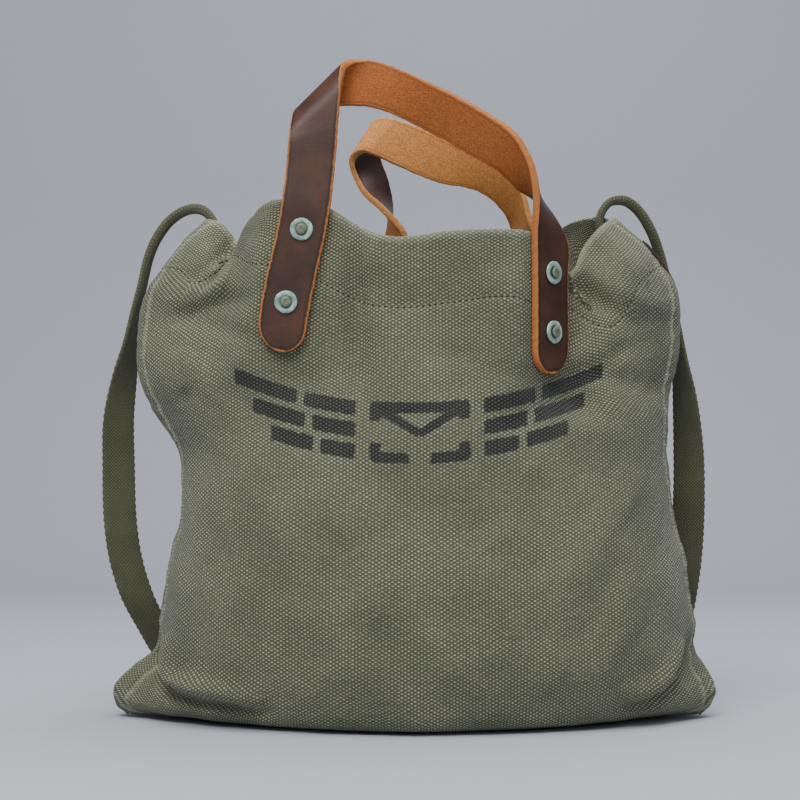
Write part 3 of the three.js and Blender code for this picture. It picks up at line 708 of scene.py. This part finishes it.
def crease_push(x, z, points, width, depth, lip, ends=0.25):
    """How far a crease pushes the cloth in, and a lip lifts it, at each point (x, z). At its two
    ends a crease has only that share of its depth, and no lip."""
    dense = catmull([(a, b, 0) for a, b in points], np.linspace(0, len(points) - 1, 40))[:, :2]
    nearest = np.full(x.shape, 1e9)
    share = np.zeros(x.shape)
    signed = np.zeros(x.shape)
    for k in range(len(dense) - 1):
        (ax, az), (bx, bz) = dense[k], dense[k + 1]
        dx, dz = bx - ax, bz - az
        length = math.hypot(dx, dz)
        t = np.clip(((x - ax) * dx + (z - az) * dz) / length ** 2, 0, 1)
        px, pz = x - ax - t * dx, z - az - t * dz
        gap = np.hypot(px, pz)
        closer = gap < nearest
        nearest = np.where(closer, gap, nearest)
        share = np.where(closer, (k + t) / (len(dense) - 1), share)
        signed = np.where(closer, np.sign(pz * dx - px * dz) * gap, signed)
    middle = np.sin(math.pi * share) ** 0.7
    valley = depth * np.exp(-(nearest / width) ** 2) * (ends + (1 - ends) * middle)
    raised = lip * np.exp(-((signed - 1.8 * width) / (1.6 * width)) ** 2) * middle
    return valley - raised


def panel_grid(side):
    """The detailed outer face of a panel, with its arc lengths, in mm."""
    turn = 1 if side < 0 else -1
    t = np.linspace(-1, 1, PANEL_COLUMNS + 1)
    # The columns crowd a little towards the seams, where the cloth turns.
    across = turn * (t + 0.06 * np.sin(math.pi * t))
    across = np.clip(across, -1, 1)
    step = np.linspace(0, 1, PANEL_ROWS + 1)
    points = panel_points(side, across[:, None], step[None, :])
    run = arc_lengths(points, 0)
    middle = PANEL_COLUMNS // 2
    u = run - run[middle:middle + 1]
    v = arc_lengths(points, 1)
    from_rim = v[:, -1:] - v
    from_seam = np.minimum(run, run[-1:] - run)
    return points, u, v, from_rim, from_seam


def detail_push(side, points, u, v, from_rim, from_seam):
    """How far the fine folds, puckers, hem and seams move the outer face out, in mm."""
    x, z = points[..., 0], points[..., 2]
    push = np.zeros(x.shape)
    for crease in FRONT_CREASES if side < 0 else BACK_CREASES:
        push -= crease_push(x, z, *crease)
    seed = 11 if side < 0 else 37
    push += 0.55 * field(u, v, 46, seed) + 0.22 * field(u, v, 17, seed + 1)
    push += 0.10 * field(u, v, 7, seed + 2)
    # The hem puckers along its stitches and ripples a little above them.
    pucker = np.sin(u * math.tau / PUCKER_PITCH + 2.2 * field(u, v * 0, 22, seed + 3))
    push -= (0.55 + 0.22 * pucker) * np.exp(-((from_rim - HEM_DEPTH) / 1.5) ** 2)
    push += 0.28 * pucker * np.exp(-((from_rim - HEM_DEPTH) / 6) ** 2)
    push += 0.35 * smoothstep(from_rim, HEM_DEPTH + 3, HEM_DEPTH - 2)
    # The felled side seam is a raised band with its two rows of stitches, puckered along.
    band = smoothstep(from_seam, SEAM_FOLD + 0.8, SEAM_FOLD - 0.8)
    along = np.sin(v * math.tau / FELL_PITCH + 2 * field(v, u * 0, 26, seed + 4))
    push += band * (1.0 + 0.12 * along)
    push -= 0.45 * np.exp(-((from_seam - SEAM_FOLD + 2) / 0.9) ** 2)
    push += 0.2 * along * np.exp(-((from_seam - SEAM_FOLD) / 5) ** 2)
    # Nothing moves under the riveted straps, at the very seam or on the floor.
    still = np.ones(x.shape)
    for leg in FRONT_HELD if side < 0 else BACK_HELD:
        _, aside, run, length = held_place(points, *leg)
        near = smoothstep(aside, HELD_WIDTH + 4, HELD_WIDTH - 6)
        near = near * smoothstep(run, -10, 2) * smoothstep(run, length + 14, length)
        still = still * (1 - near)
    push = np.where(push > 0.4, 0.4 * (1 - still) + push * still, push * (0.15 + 0.85 * still))
    push = np.minimum(push, 0.9 + 8 * still)
    return push * smoothstep(from_seam, 0, 2.5) * smoothstep(points[..., 2], 0.3, 6)


def ink_distance(x, z):
    """Signed distance in mm to the stencilled sign, a plain envelope between rows of bars."""
    def bar(s, t, middle_s, middle_t, half_s, half_t, tilt=0.0):
        c, k = math.cos(tilt), math.sin(tilt)
        ds, dt = s - middle_s, t - middle_t
        ps = np.abs(ds * c + dt * k) - half_s
        pt = np.abs(dt * c - ds * k) - half_t
        outside = np.hypot(np.maximum(ps, 0), np.maximum(pt, 0))
        return outside + np.minimum(np.maximum(ps, pt), 0)

    s = x - 4
    t = z - (153 + 0.0023 * x ** 2)
    frame_line = np.abs(bar(s, t, 0, 0, 23, 13)) - 2.8
    flap = np.minimum(bar(s, t, -11.5, 6.4, 13.5, 2.3, -0.52), bar(s, t, 11.5, 6.4, 13.5, 2.3, 0.52))
    sign = np.minimum(frame_line, flap)
    for gap_s, gap_t in ((-23, 0), (23, 0), (0, -13)):
        sign = np.maximum(sign, -bar(s, t, gap_s, gap_t, 4, 4) + 1.6)
    for hand in (-1, 1):
        for k, height in enumerate((11.2, 0, -11.2)):
            reach = 32 - 5 * k
            row = bar(s, t, hand * (33 + reach), height, reach, 3.9)
            row = np.maximum(row, -(np.abs(s - hand * (33 + reach * 0.9)) - 1.9))
            sign = np.minimum(sign, row)
    return sign


def make_panel(side, name, node, look):
    points, u, v, from_rim, from_seam = panel_grid(side)
    push = detail_push(side, points, u, v, from_rim, from_seam)
    normals = grid_normals(points)
    outer = points + push[..., None] * normals
    outer[..., 2] = np.maximum(outer[..., 2], 0)
    outer[..., 1] = side * np.maximum(side * outer[..., 1], LEAST_GAP)
    normals = grid_normals(outer)
    thickness = CANVAS_THICKNESS + HEM_EXTRA * smoothstep(from_rim, HEM_DEPTH + 1.5, HEM_DEPTH - 1)
    inner = outer - thickness[..., None] * normals
    inner[..., 1] = side * np.maximum(side * inner[..., 1], LEAST_GAP)
    # The rim is rolled over between the two faces.
    radius = thickness[:, -1:] / 2
    centre = (outer[:, -1] + inner[:, -1]) / 2
    out = (outer[:, -1] - inner[:, -1]) / 2
    rise = unit(outer[:, -1] - outer[:, -3]) * radius * 1.1
    arc = [centre + out * math.cos(a) + rise * math.sin(a)
           for a in np.linspace(0, math.pi, RIM_ROWS + 2)[1:-1]]
    columns, rows = points.shape[:2]
    loop = np.concatenate([outer, np.stack(arc, 1), inner[:, ::-1]], axis=1)
    around = loop.shape[1]
    # The weave is counted from one level line, so its rows lie level there.
    up = v - v[:, LEVEL_ROW:LEVEL_ROW + 1]
    rim_up = up[:, -1:] + np.linspace(0.4, 2.4, RIM_ROWS)[None]
    inside_up = up[:, -1:] * 2 + 3 - up[:, ::-1]
    uv = np.stack([np.concatenate([u, np.repeat(u[:, -1:], RIM_ROWS, 1), u[:, ::-1]], 1),
                   np.concatenate([up, rim_up, inside_up], 1)], -1)
    faces = []
    for i in range(columns - 1):
        for j in range(around):
            k = (j + 1) % around
            faces.append((i * around + j, (i + 1) * around + j, (i + 1) * around + k, i * around + k))
    for i in (0, columns - 1):
        for j in range(rows - 1):
            face = (i * around + j, i * around + j + 1,
                    i * around + around - 2 - j, i * around + around - 1 - j)
            faces.append(face if i == 0 else face[::-1])
        top = tuple(i * around + j for j in range(rows - 1, rows + RIM_ROWS + 1))
        faces.append(top if i == 0 else top[::-1])
    rim_wear = 0.7 * np.exp(-(from_rim / 1.6) ** 2)
    ridge = 0.9 * np.exp(-((from_seam - SEAM_FOLD + 0.4) / 1.1) ** 2)
    ears = 0.12 * smoothstep(points[..., 2], 9, 2) * smoothstep(from_seam, 60, 5)
    hem_wear = 0.25 * np.exp(-((from_rim - HEM_DEPTH) / 1.2) ** 2)
    wear = np.clip(rim_wear + ridge + ears + hem_wear, 0, 1)
    inside = np.zeros_like(wear)
    values = {"wear": np.concatenate([wear, np.repeat(wear[:, -1:], RIM_ROWS, 1), inside], 1),
              "ink": np.full((columns, around), NO_INK)}
    if side < 0:
        values["ink"][:, :rows] = ink_distance(outer[..., 0], outer[..., 2])
    piece = make_piece(name, loop.reshape(-1, 3), faces, uv.reshape(-1, 2), values, look)
    put_on_sack(piece, "canvas", node)
    threads = stitch_rows(outer, normals, from_rim, from_seam, name)


def capsule(centre, along, out, length, radius):
    """Points of one stitch lying along a direction, and its faces."""
    side = np.cross(along, out)
    rings = [(-0.5, 0.35), (-0.32, 0.9), (0, 1.0), (0.32, 0.9), (0.5, 0.35)]
    angles = round_angles(6)
    points = [centre + along * length * a + radius * b * (side * math.cos(t) + out * math.sin(t))
              - out * radius * 1.2 * abs(a) * 1.6 for a, b in rings for t in angles]
    return points, tube_faces(len(rings), len(angles))


STITCH_PITCH = 3.3
STITCH_LENGTH = 2.0
THREAD_RADIUS = 0.34


def stitch_line(line, out, lift, points, faces):
    """Adds stitches along a line of points with outward directions, lifted by that many mm."""
    run = arc_lengths(line[:, None], 0)[:, 0]
    spots = np.arange(STITCH_PITCH, run[-1] - STITCH_PITCH / 2, STITCH_PITCH)
    for spot in spots:
        centre, ahead, outward = (
            np.array([np.interp(at, run, source[:, k]) for k in range(3)])
            for at, source in ((spot, line), (spot + 1, line), (spot, out)))
        along = unit(ahead - centre)
        outward = unit(outward - along * (outward @ along))
        more, quads = capsule(centre + outward * lift, along, outward, STITCH_LENGTH, THREAD_RADIUS)
        base = len(points)
        points.extend(more)
        faces.extend([tuple(base + q for q in quad) for quad in quads])


def contour(grid, distance, wanted):
    """For each column of a grid, the point where distance, falling along it, reaches a value."""
    rows = np.arange(grid.shape[1])
    places = np.array([np.interp(-wanted, -distance[i], rows) for i in range(len(grid))])
    low = np.minimum(places.astype(int), grid.shape[1] - 2)
    share = (places - low)[:, None]
    index = np.arange(len(grid))
    return grid[index, low] * (1 - share) + grid[index, low + 1] * share


def stitch_rows(outer, normals, from_rim, from_seam, name):
    """A panel's threads: the stitches of its hem, and those of its two side seams."""
    points, faces = [], []
    hem = contour(outer, from_rim, HEM_DEPTH)
    out = contour(normals, from_rim, HEM_DEPTH)
    keep = slice(6, -6)
    stitch_line(hem[keep], out[keep], 0.15, points, faces)
    hem_thread = make_piece(f"{name}_hem_stitches", np.array(points), faces, look=THREAD)
    points, faces = [], []
    half = outer.shape[0] // 2
    for step in (1, -1):
        grid = outer[::step][:half].transpose(1, 0, 2)[:, ::-1]
        facing = normals[::step][:half].transpose(1, 0, 2)[:, ::-1]
        gap = from_seam[::step][:half].T[:, ::-1]
        rows = slice(14, -3)
        line = contour(grid, gap, SEAM_FOLD - 2)
        direction = contour(facing, gap, SEAM_FOLD - 2)
        stitch_line(line[rows], direction[rows], -0.28, points, faces)
    seam_thread = make_piece(f"{name}_seam_stitches", np.array(points), faces, look=SEAM_THREAD)
    for thread in (hem_thread, seam_thread):
        put_on_sack(thread, "canvas")
    return [hem_thread, seam_thread]


make_panel(-1, "front_canvas", "front_panel", FRONT_CANVAS)
make_panel(1, "back_canvas", "back_panel", CANVAS)


def make_seam_edge(hand, name):
    """The folded edge of a side seam, from the bottom corner to the rim."""
    rings, around = 240, 14
    line = panel_points(-1, np.full(rings, float(hand)), np.linspace(0, 1, rings))
    line[:, 1] = 0
    line[:, 0] -= hand * 0.9
    line[:, 2] = np.maximum(line[:, 2], 1.9)
    run = arc_lengths(line[:, None], 0)[:, 0]
    forward = unit(np.gradient(line, axis=0))
    sideways = np.array([0.0, 1.0, 0.0])
    outward = unit(np.cross(np.broadcast_to(sideways, forward.shape), forward)) * -hand
    angle = round_angles(around)
    wave = 1 + 0.03 * np.sin(run * math.tau / FELL_PITCH)[:, None]
    rows = (line[:, None] + (1.5 * wave * np.cos(angle))[..., None] * outward[:, None]
            + (1.8 * wave * np.sin(angle))[..., None] * sideways)
    rows[..., 2] = np.maximum(rows[..., 2], 0)
    uv = np.stack(np.broadcast_arrays(angle[None] * 2.2, run[:, None]), -1)
    wear = np.broadcast_to(0.35 + 0.25 * np.cos(angle)[None], rows.shape[:2])
    values = {"wear": wear, "ink": np.full(rows.shape[:2], NO_INK)}
    piece = make_piece(name, rows.reshape(-1, 3), tube_faces(rings, around),
                       uv.reshape(-1, 2), values, CANVAS)
    put_on_sack(piece, "canvas")


make_seam_edge(-1, "left_seam_edge")
make_seam_edge(1, "right_seam_edge")

# ---- Leather straps ----
# Each station is the near edge, which turns into the top edge of the arch, and the far edge.
FRONT_HANDLE = [
    ((-57.5, -61, 191), (-81, -61, 196)), ((-53, -61, 219), (-78, -61, 224)),
    ((-45, -61, 257), (-70, -61, 262)), ((-42.9, -61, 269), (-68.1, -61, 273)),
    ((-40.5, -60, 290), (-65.8, -60, 292)), ((-38.5, -59, 318), (-64.5, -59, 308)),
    ((-37, -57, 338), (-63.5, -57, 314)), ((-34.5, -50, 350), (-61, -50, 323.5)),
    ((-26, -43, 353.5), (-53, -43, 327)), ((-12, -42, 350.5), (-24, -42, 328.5)),
    ((15.5, -50, 336.5), (6.7, -38, 317)), ((37, -57, 323), (31, -45, 302)),
    ((52.5, -65, 310), (47, -49, 292)), ((60.5, -69, 296), (57, -48, 283)),
    ((64, -70, 279), (66.5, -47, 277)), ((63, -67.5, 256), (81, -49.5, 254)),
    ((63, -67.5, 236), (81, -49.5, 238)), ((63, -67.5, 204), (81, -49.5, 208)),
    ((63, -67.5, 181), (81, -49.5, 183)),
]
BACK_HANDLE = [
    ((-22, 61, 180), (-47, 61, 185)), ((-18, 61, 206), (-43, 61, 213)),
    ((-9, 61, 241), (-33.5, 61, 248)), ((-7.3, 61, 249), (-31.8, 61, 256)),
    ((-4, 52, 272), (-16, 73, 274)), ((-17.5, 50, 288), (-13.2, 74, 291)),
    ((-28, 52, 297.6), (-14.5, 72, 304)), ((-34.5, 56, 309.3), (-21, 70, 325)),
    ((-36, 53, 317), (-23, 58, 339)), ((-29, 46, 321), (-14, 49, 341)),
    ((-9.9, 47, 313.4), (-2, 47, 337.5)), ((13.6, 50, 304), (24, 45, 326)),
    ((40, 54, 298.7), (50, 45, 314)), ((55.8, 62, 285.8), (62.8, 46, 300)),
    ((60.5, 71, 274), (69, 48, 281)), ((57.5, 65.5, 253), (80.5, 54.5, 253)),
    ((57.5, 65.5, 238), (80.5, 54.5, 238)), ((57.5, 65.5, 204), (80.5, 54.5, 204)),
    ((57.5, 65.5, 180), (80.5, 54.5, 180)),
]
RIVET_PLACES = {"left_lower": 1, "left_upper": 2, "right_upper": 16, "right_lower": 17}
STRAP_WIDTH = 25.4
LEATHER_THICKNESS = 4
BEVEL = 0.9
END_TRIM = 2.4


def section(width, thickness, bevel):
    """A strap's cross-section: offsets across and through it, its side and distance to an edge."""
    half, deep = width / 2, thickness / 2
    flat = np.linspace(-1, 1, 13) * (half - bevel)
    corner = np.linspace(0, math.pi / 2, 5)[1:]
    top = [(w, deep, 1.0, half - abs(w)) for w in flat]
    bottom = [(w, -deep, 0.0, half - abs(w)) for w in flat[::-1]]
    right, left = [], []
    for a in corner[:-1]:
        right.append((half - bevel + bevel * math.sin(a), deep - bevel + bevel * math.cos(a), 0.75,
                      bevel * (1 - math.sin(a)) * 0.3))
    right.append((half, 0, 0.5, 0.0))
    for a in corner[:-1][::-1]:
        right.append((half - bevel + bevel * math.sin(a), -deep + bevel - bevel * math.cos(a), 0.25,
                      bevel * (1 - math.sin(a)) * 0.3))
    for w, t, side, rim in right:
        left.append((-w, -t, 1 - side, rim))
    return np.array(top + right + bottom + left)


def make_handle(body, stations, look, joint):
    _, run, middle, width, across, normal = Strap(stations).rings()
    radius = STRAP_WIDTH / 2
    # Rounded ends need rings crowded towards the tip.
    tip = radius * (1 - np.cos(np.linspace(0, math.pi / 2, 16)))
    first, last = END_TRIM, run[-1] - END_TRIM
    between = run[(run > first + radius * 1.05) & (run < last - radius * 1.05)]
    wanted = np.concatenate([first + tip, between, (last - tip)[::-1]])
    middle, across, normal = (
        np.stack([np.interp(wanted, run, source[:, k]) for k in range(3)], 1)
        for source in (middle, across, normal))
    across, normal = unit(across), unit(normal)
    width = np.interp(wanted, run, width)
    from_tip = np.minimum(wanted - first, last - wanted)
    share = np.sqrt(np.clip(1 - (1 - np.clip(from_tip / radius, 0, 1)) ** 2, 0.02, 1))
    shape = section(STRAP_WIDTH, LEATHER_THICKNESS, BEVEL)
    rows, side, rim, uv = [], [], [], []
    for i in range(len(wanted)):
        scale = share[i] * width[i] / STRAP_WIDTH
        w = shape[:, 0] * scale
        w = w + np.sign(w) * smoothstep(np.abs(w), 6, 12) * (
            0.1 * field(np.array([wanted[i]]), np.array([0.0]), 12, 5)[0]
            + 0.13 * field(w * 0.6, np.full(w.shape, wanted[i]), 2.4, 6))
        rows.append(middle[i] + w[:, None] * across[i] + shape[:, 1:2] * normal[i])
        side.append(shape[:, 2])
        end_gap = from_tip[i] if from_tip[i] < radius else 99
        rim.append(np.minimum(shape[:, 3] * scale, end_gap + 0 * w))
        uv.append(np.stack([w, np.full(len(w), wanted[i])], 1))
    points = np.array(rows)
    around = len(shape)
    # The grain faces away from the sack: along the normal on one strap, against it on the other.
    outward = normal[len(normal) // 8] @ np.array([0, -1.0 if "front" in body else 1.0, 0])
    side = np.array(side) if outward > 0 else 1 - np.array(side)
    piece = make_piece(f"{body}_strap", points.reshape(-1, 3), tube_faces(len(points), around),
                       np.array(uv).reshape(-1, 2),
                       {"side": side, "rim": np.array(rim)}, look)
    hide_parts(f"{body}_left_end", f"{body}_right_end", f"{body}_loop")
    pivot, axis = (np.array(joint[key], float) for key in ("pos_m", "axis"))
    up = unit(np.cross(axis, np.array([0, 1.0, 0])) * np.sign(axis[0]))
    up = up * np.sign(up[2])
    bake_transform(piece)


joints = {j["name"]: j for j in frame["joints"]}
make_handle("front_handle", FRONT_HANDLE, FRONT_LEATHER_PAINTED_SHADE, joints["front_handle_swing"])
make_handle("back_handle", BACK_HANDLE, BACK_LEATHER_PAINTED_LIGHT, joints["back_handle_swing"])

# ---- Side tabs ----
TAB_BOTTOM, TAB_FREE, TAB_HIGH, TAB_TOP = 0.75, 0.84, 0.94, 0.975
TAB_SPREAD = 0.24
TAB_GAP = 0.6
TAB_THICKNESS = 3
TAB_STAND_OFF = 1.5
TAB_WIDTH = 22


def tab_across(step):
    return 0.74 + (0.85 - 0.74) * smoothstep(step, TAB_BOTTOM, 1)


def cloth_frame(side, across, step):
    """Points on a panel's outer face and the outward directions there."""
    across, step = np.broadcast_arrays(np.asarray(across, float), np.asarray(step, float))
    small = 0.004
    sideways = panel_points(side, across + small, step) - panel_points(side, across - small, step)
    upwards = (panel_points(side, across, np.minimum(step + small, 1))
               - panel_points(side, across, step - small))
    return panel_points(side, across, step), unit(np.cross(sideways, upwards)) * -side


def make_tab(hand, name, node):
    """A leather tab that lies on the back panel by a side seam and stands off at both ends."""
    columns, rows = 24, 60
    i = np.linspace(0, 1, columns + 1)[:, None]
    j = np.linspace(0, 1, rows + 1)[None, :] ** 1.15
    step = TAB_BOTTOM + (TAB_TOP - TAB_BOTTOM) * j
    narrow = np.sqrt(np.maximum(1 - np.maximum(1 - j * 6, 0) ** 2, 0.02))
    offset = i - 0.5 if hand < 0 else 0.5 - i
    # The left tab tapers towards its top on the seam side.
    taper = 0.7 * smoothstep(step, 0.86, 0.95) * (hand < 0)
    offset = np.where(offset > 0, offset * (1 - taper), offset)
    at, out = cloth_frame(1, hand * (tab_across(step) + TAB_SPREAD * narrow * offset), step)
    stand_off = TAB_STAND_OFF * (1 - smoothstep(step, TAB_BOTTOM, TAB_FREE)
                                 + smoothstep(step, TAB_HIGH, TAB_TOP))
    edge = np.minimum(i, 1 - i) * TAB_WIDTH * narrow
    rim = np.minimum(edge, arc_lengths(at, 1))
    rim = np.minimum(rim, rim * 0 + arc_lengths(at[:, ::-1], 1)[:, ::-1])
    rounding = 0.7 * np.exp(-(rim / 0.8) ** 2)
    lift = TAB_GAP + stand_off + rounding * 0.5
    inner = at + lift[..., None] * out
    outer = at + (TAB_GAP + TAB_THICKNESS + stand_off - rounding)[..., None] * out
    count = (columns + 1) * (rows + 1)
    points = np.concatenate([outer.reshape(-1, 3), inner.reshape(-1, 3)])
    faces = []
    index = np.arange(count).reshape(columns + 1, rows + 1)
    for a in range(columns):
        for b in range(rows):
            quad = (index[a, b], index[a + 1, b], index[a + 1, b + 1], index[a, b + 1])
            faces.append(tuple(int(q) for q in quad))
            faces.append(tuple(int(q) + count for q in quad[::-1]))
    border = ([(a, 0) for a in range(columns)] + [(columns, b) for b in range(rows)]
              + [(a, rows) for a in range(columns, 0, -1)] + [(0, b) for b in range(rows, 0, -1)])
    for k, (a, b) in enumerate(border):
        c, d = border[(k + 1) % len(border)]
        p, q = int(index[a, b]), int(index[c, d])
        faces.append((q, p, p + count, q + count))
    side = np.concatenate([np.ones(count), np.zeros(count)])
    rims = np.concatenate([rim.ravel(), rim.ravel()])
    along = arc_lengths(at, 1)
    flat = np.stack([np.broadcast_to(i * TAB_WIDTH, along.shape), along], -1).reshape(-1, 2)
    piece = make_piece(name, points, faces, np.concatenate([flat, flat]),
                       {"side": side, "rim": rims}, TAB_LEATHER_PAINTED_SHADE)
    # The tab's near-black leather colours are painted shade.
    put_on_sack(piece, "tab_leather", node)


make_tab(-1, "left_tab", "side_tab_left")
make_tab(1, "right_tab", "side_tab_right")

# ---- Rivets and burrs ----
HEAD_RADIUS = 6
BURR_RADIUS = 6
BURR_HOLE = 2.45
SHANK_RADIUS = 2
PEEN_RADIUS = 2.9


def lathe(name, node, profile, at, out, bare, seed, steps=40):
    """A turned piece along a direction, a little irregular, from (radius, height) pairs."""
    out = unit(np.asarray(out, float))
    side = unit(np.cross(out, np.array([0.3, 0.2, 1.0])))
    other = np.cross(out, side)
    angle = round_angles(steps)
    rng = np.random.RandomState(seed)
    wobble = sum(rng.uniform(-0.06, 0.06) * np.cos(angle * n + rng.uniform(0, 6)) for n in (2, 3, 5))
    rows = []
    for radius, height in profile:
        r = radius + wobble * min(radius / 4, 1)
        h = height + 0.5 * wobble * (radius > 0.1)
        rows.append(at + (r * np.cos(angle))[:, None] * side + (r * np.sin(angle))[:, None] * other
                    + (h + 0 * angle)[:, None] * out)
    points = np.array(rows)
    values = {"bare": np.repeat(np.array(bare, float)[:, None], steps, 1)}
    piece = make_piece(name, points.reshape(-1, 3), tube_faces(len(profile), steps),
                       None, values, COPPER)
    put_on_sack(piece, "green_copper", node)


def make_rivet(key, at, out, inside, outside, seed):
    """A rivet with its head that far inside, and its burr and peened tip outside."""
    tip = outside + 1.5
    profile = [(0.05, -inside - 1.2), (HEAD_RADIUS - 1.2, -inside - 1.15),
               (HEAD_RADIUS, -inside - 0.7), (HEAD_RADIUS, -inside), (SHANK_RADIUS, -inside),
               (SHANK_RADIUS, tip - 0.2), (PEEN_RADIUS - 0.2, tip - 0.1), (PEEN_RADIUS, tip + 0.25),
               (PEEN_RADIUS - 0.35, tip + 0.75), (1.5, tip + 1.0), (0.8, tip + 0.9), (0.05, tip + 0.85)]
    bare = [0.2] * 5 + [0.6, 0.8, 0.9, 0.7, 0.8, 0.9, 0.9]
    lathe(f"rivet_piece_{key}", f"rivet_{key}", profile, at, out, bare, seed)
    low = outside
    profile = [(BURR_HOLE, low), (BURR_RADIUS - 0.3, low), (BURR_RADIUS, low + 0.3),
               (BURR_RADIUS - 0.1, low + 0.8), (BURR_RADIUS - 0.7, low + 1.15), (4.4, low + 1.2),
               (3.6, low + 1.0), (3.2, low + 0.75), (2.6, low + 0.75), (BURR_HOLE, low + 0.6),
               (BURR_HOLE, low)]
    bare = [0.6, 0.4, 0.1, 0.0, 0.0, 0.0, 0.25, 0.7, 0.9, 1.0, 1.0]
    lathe(f"burr_piece_{key}", f"burr_{key}", profile, at, out, bare, seed + 50)


HANDLE_INSIDE = HELD_DEPTH + CANVAS_THICKNESS + 0.6
HANDLE_OUTSIDE = LEATHER_THICKNESS / 2 + 0.3
TAB_INSIDE = 11
TAB_OUTSIDE = TAB_GAP + TAB_THICKNESS + 0.6
TAB_RIVETS = (("lower", 0.84), ("upper", 0.92))


def make_rivets():
    seed = 1
    for which, stations, side in (("front", FRONT_HANDLE, -1), ("back", BACK_HANDLE, 1)):
        strap = Strap(stations)
        for key, place in RIVET_PLACES.items():
            at = strap.middle([place])[0]
            out = strap.normal([place])[0] * side
            make_rivet(f"{which}_{key}", at, out, HANDLE_INSIDE, HANDLE_OUTSIDE, seed)
            seed += 1
    for which, hand in (("left", -1), ("right", 1)):
        for key, step in TAB_RIVETS:
            at, out = cloth_frame(1, hand * tab_across(step), step)
            make_rivet(f"{which}_tab_{key}", at, out, TAB_INSIDE, TAB_OUTSIDE, seed)
            seed += 1


make_rivets()


# ---- Floor, backdrop and light ----
def stage_look(name, dark, light):
    """A matt painted surface with a fine, faint grain."""
    look = Look(name, roughness=0.85, specular=0.25)
    look.color(look.mix(look.noise(look.place(), 0.4, 2.0), dark, light))
    return look.material


FLOOR_FRONT, FLOOR_BACK = -1.6, 1.2
BACKDROP_CURVE, BACKDROP_TOP = 0.6, 3.2
STAGE_HALF_WIDTH = 3.5


def make_stage():
    """A pale floor that curves up into a pale backdrop, well behind the sack, in metres."""
    profile = [(FLOOR_FRONT, 0.0), (FLOOR_BACK, 0.0)]
    profile += [(FLOOR_BACK + BACKDROP_CURVE * math.sin(a), BACKDROP_CURVE - BACKDROP_CURVE * math.cos(a))
                for a in np.linspace(0, math.pi / 2, 16)[1:]]
    profile += [(FLOOR_BACK + BACKDROP_CURVE, BACKDROP_TOP)]
    points, faces = [], []
    for y, z in profile:
        points += [(-STAGE_HALF_WIDTH, y, z), (STAGE_HALF_WIDTH, y, z)]
    for k in range(len(profile) - 1):
        faces.append((2 * k, 2 * k + 1, 2 * k + 3, 2 * k + 2))
    sweep = make_piece("stage", np.array(points) / MM, faces,
                       look=stage_look("pale_stage", srgb(180, 184, 193), srgb(190, 193, 200)))


make_stage()
area_light("key", (-0.5, -1.5, 1.8), (0, 0, 0.15), (1.2, 1.0), 35, (1.0, 0.99, 0.97))
area_light("top", (0.2, -0.1, 1.9), (0, 0, 0.1), (2.0, 1.6), 36, (0.97, 0.98, 1.0))
area_light("front", (0.3, -2.6, 0.9), (0, 0, 0.15), (2.2, 1.2), 8, (0.86, 0.92, 1.0))
world = bpy.data.worlds.new("soft_world")
world.use_nodes = True
background = world.node_tree.nodes["Background"]
background.inputs[0].default_value = (0.75, 0.8, 0.88, 1)
background.inputs[1].default_value = 0.3
bpy.context.scene.world = world
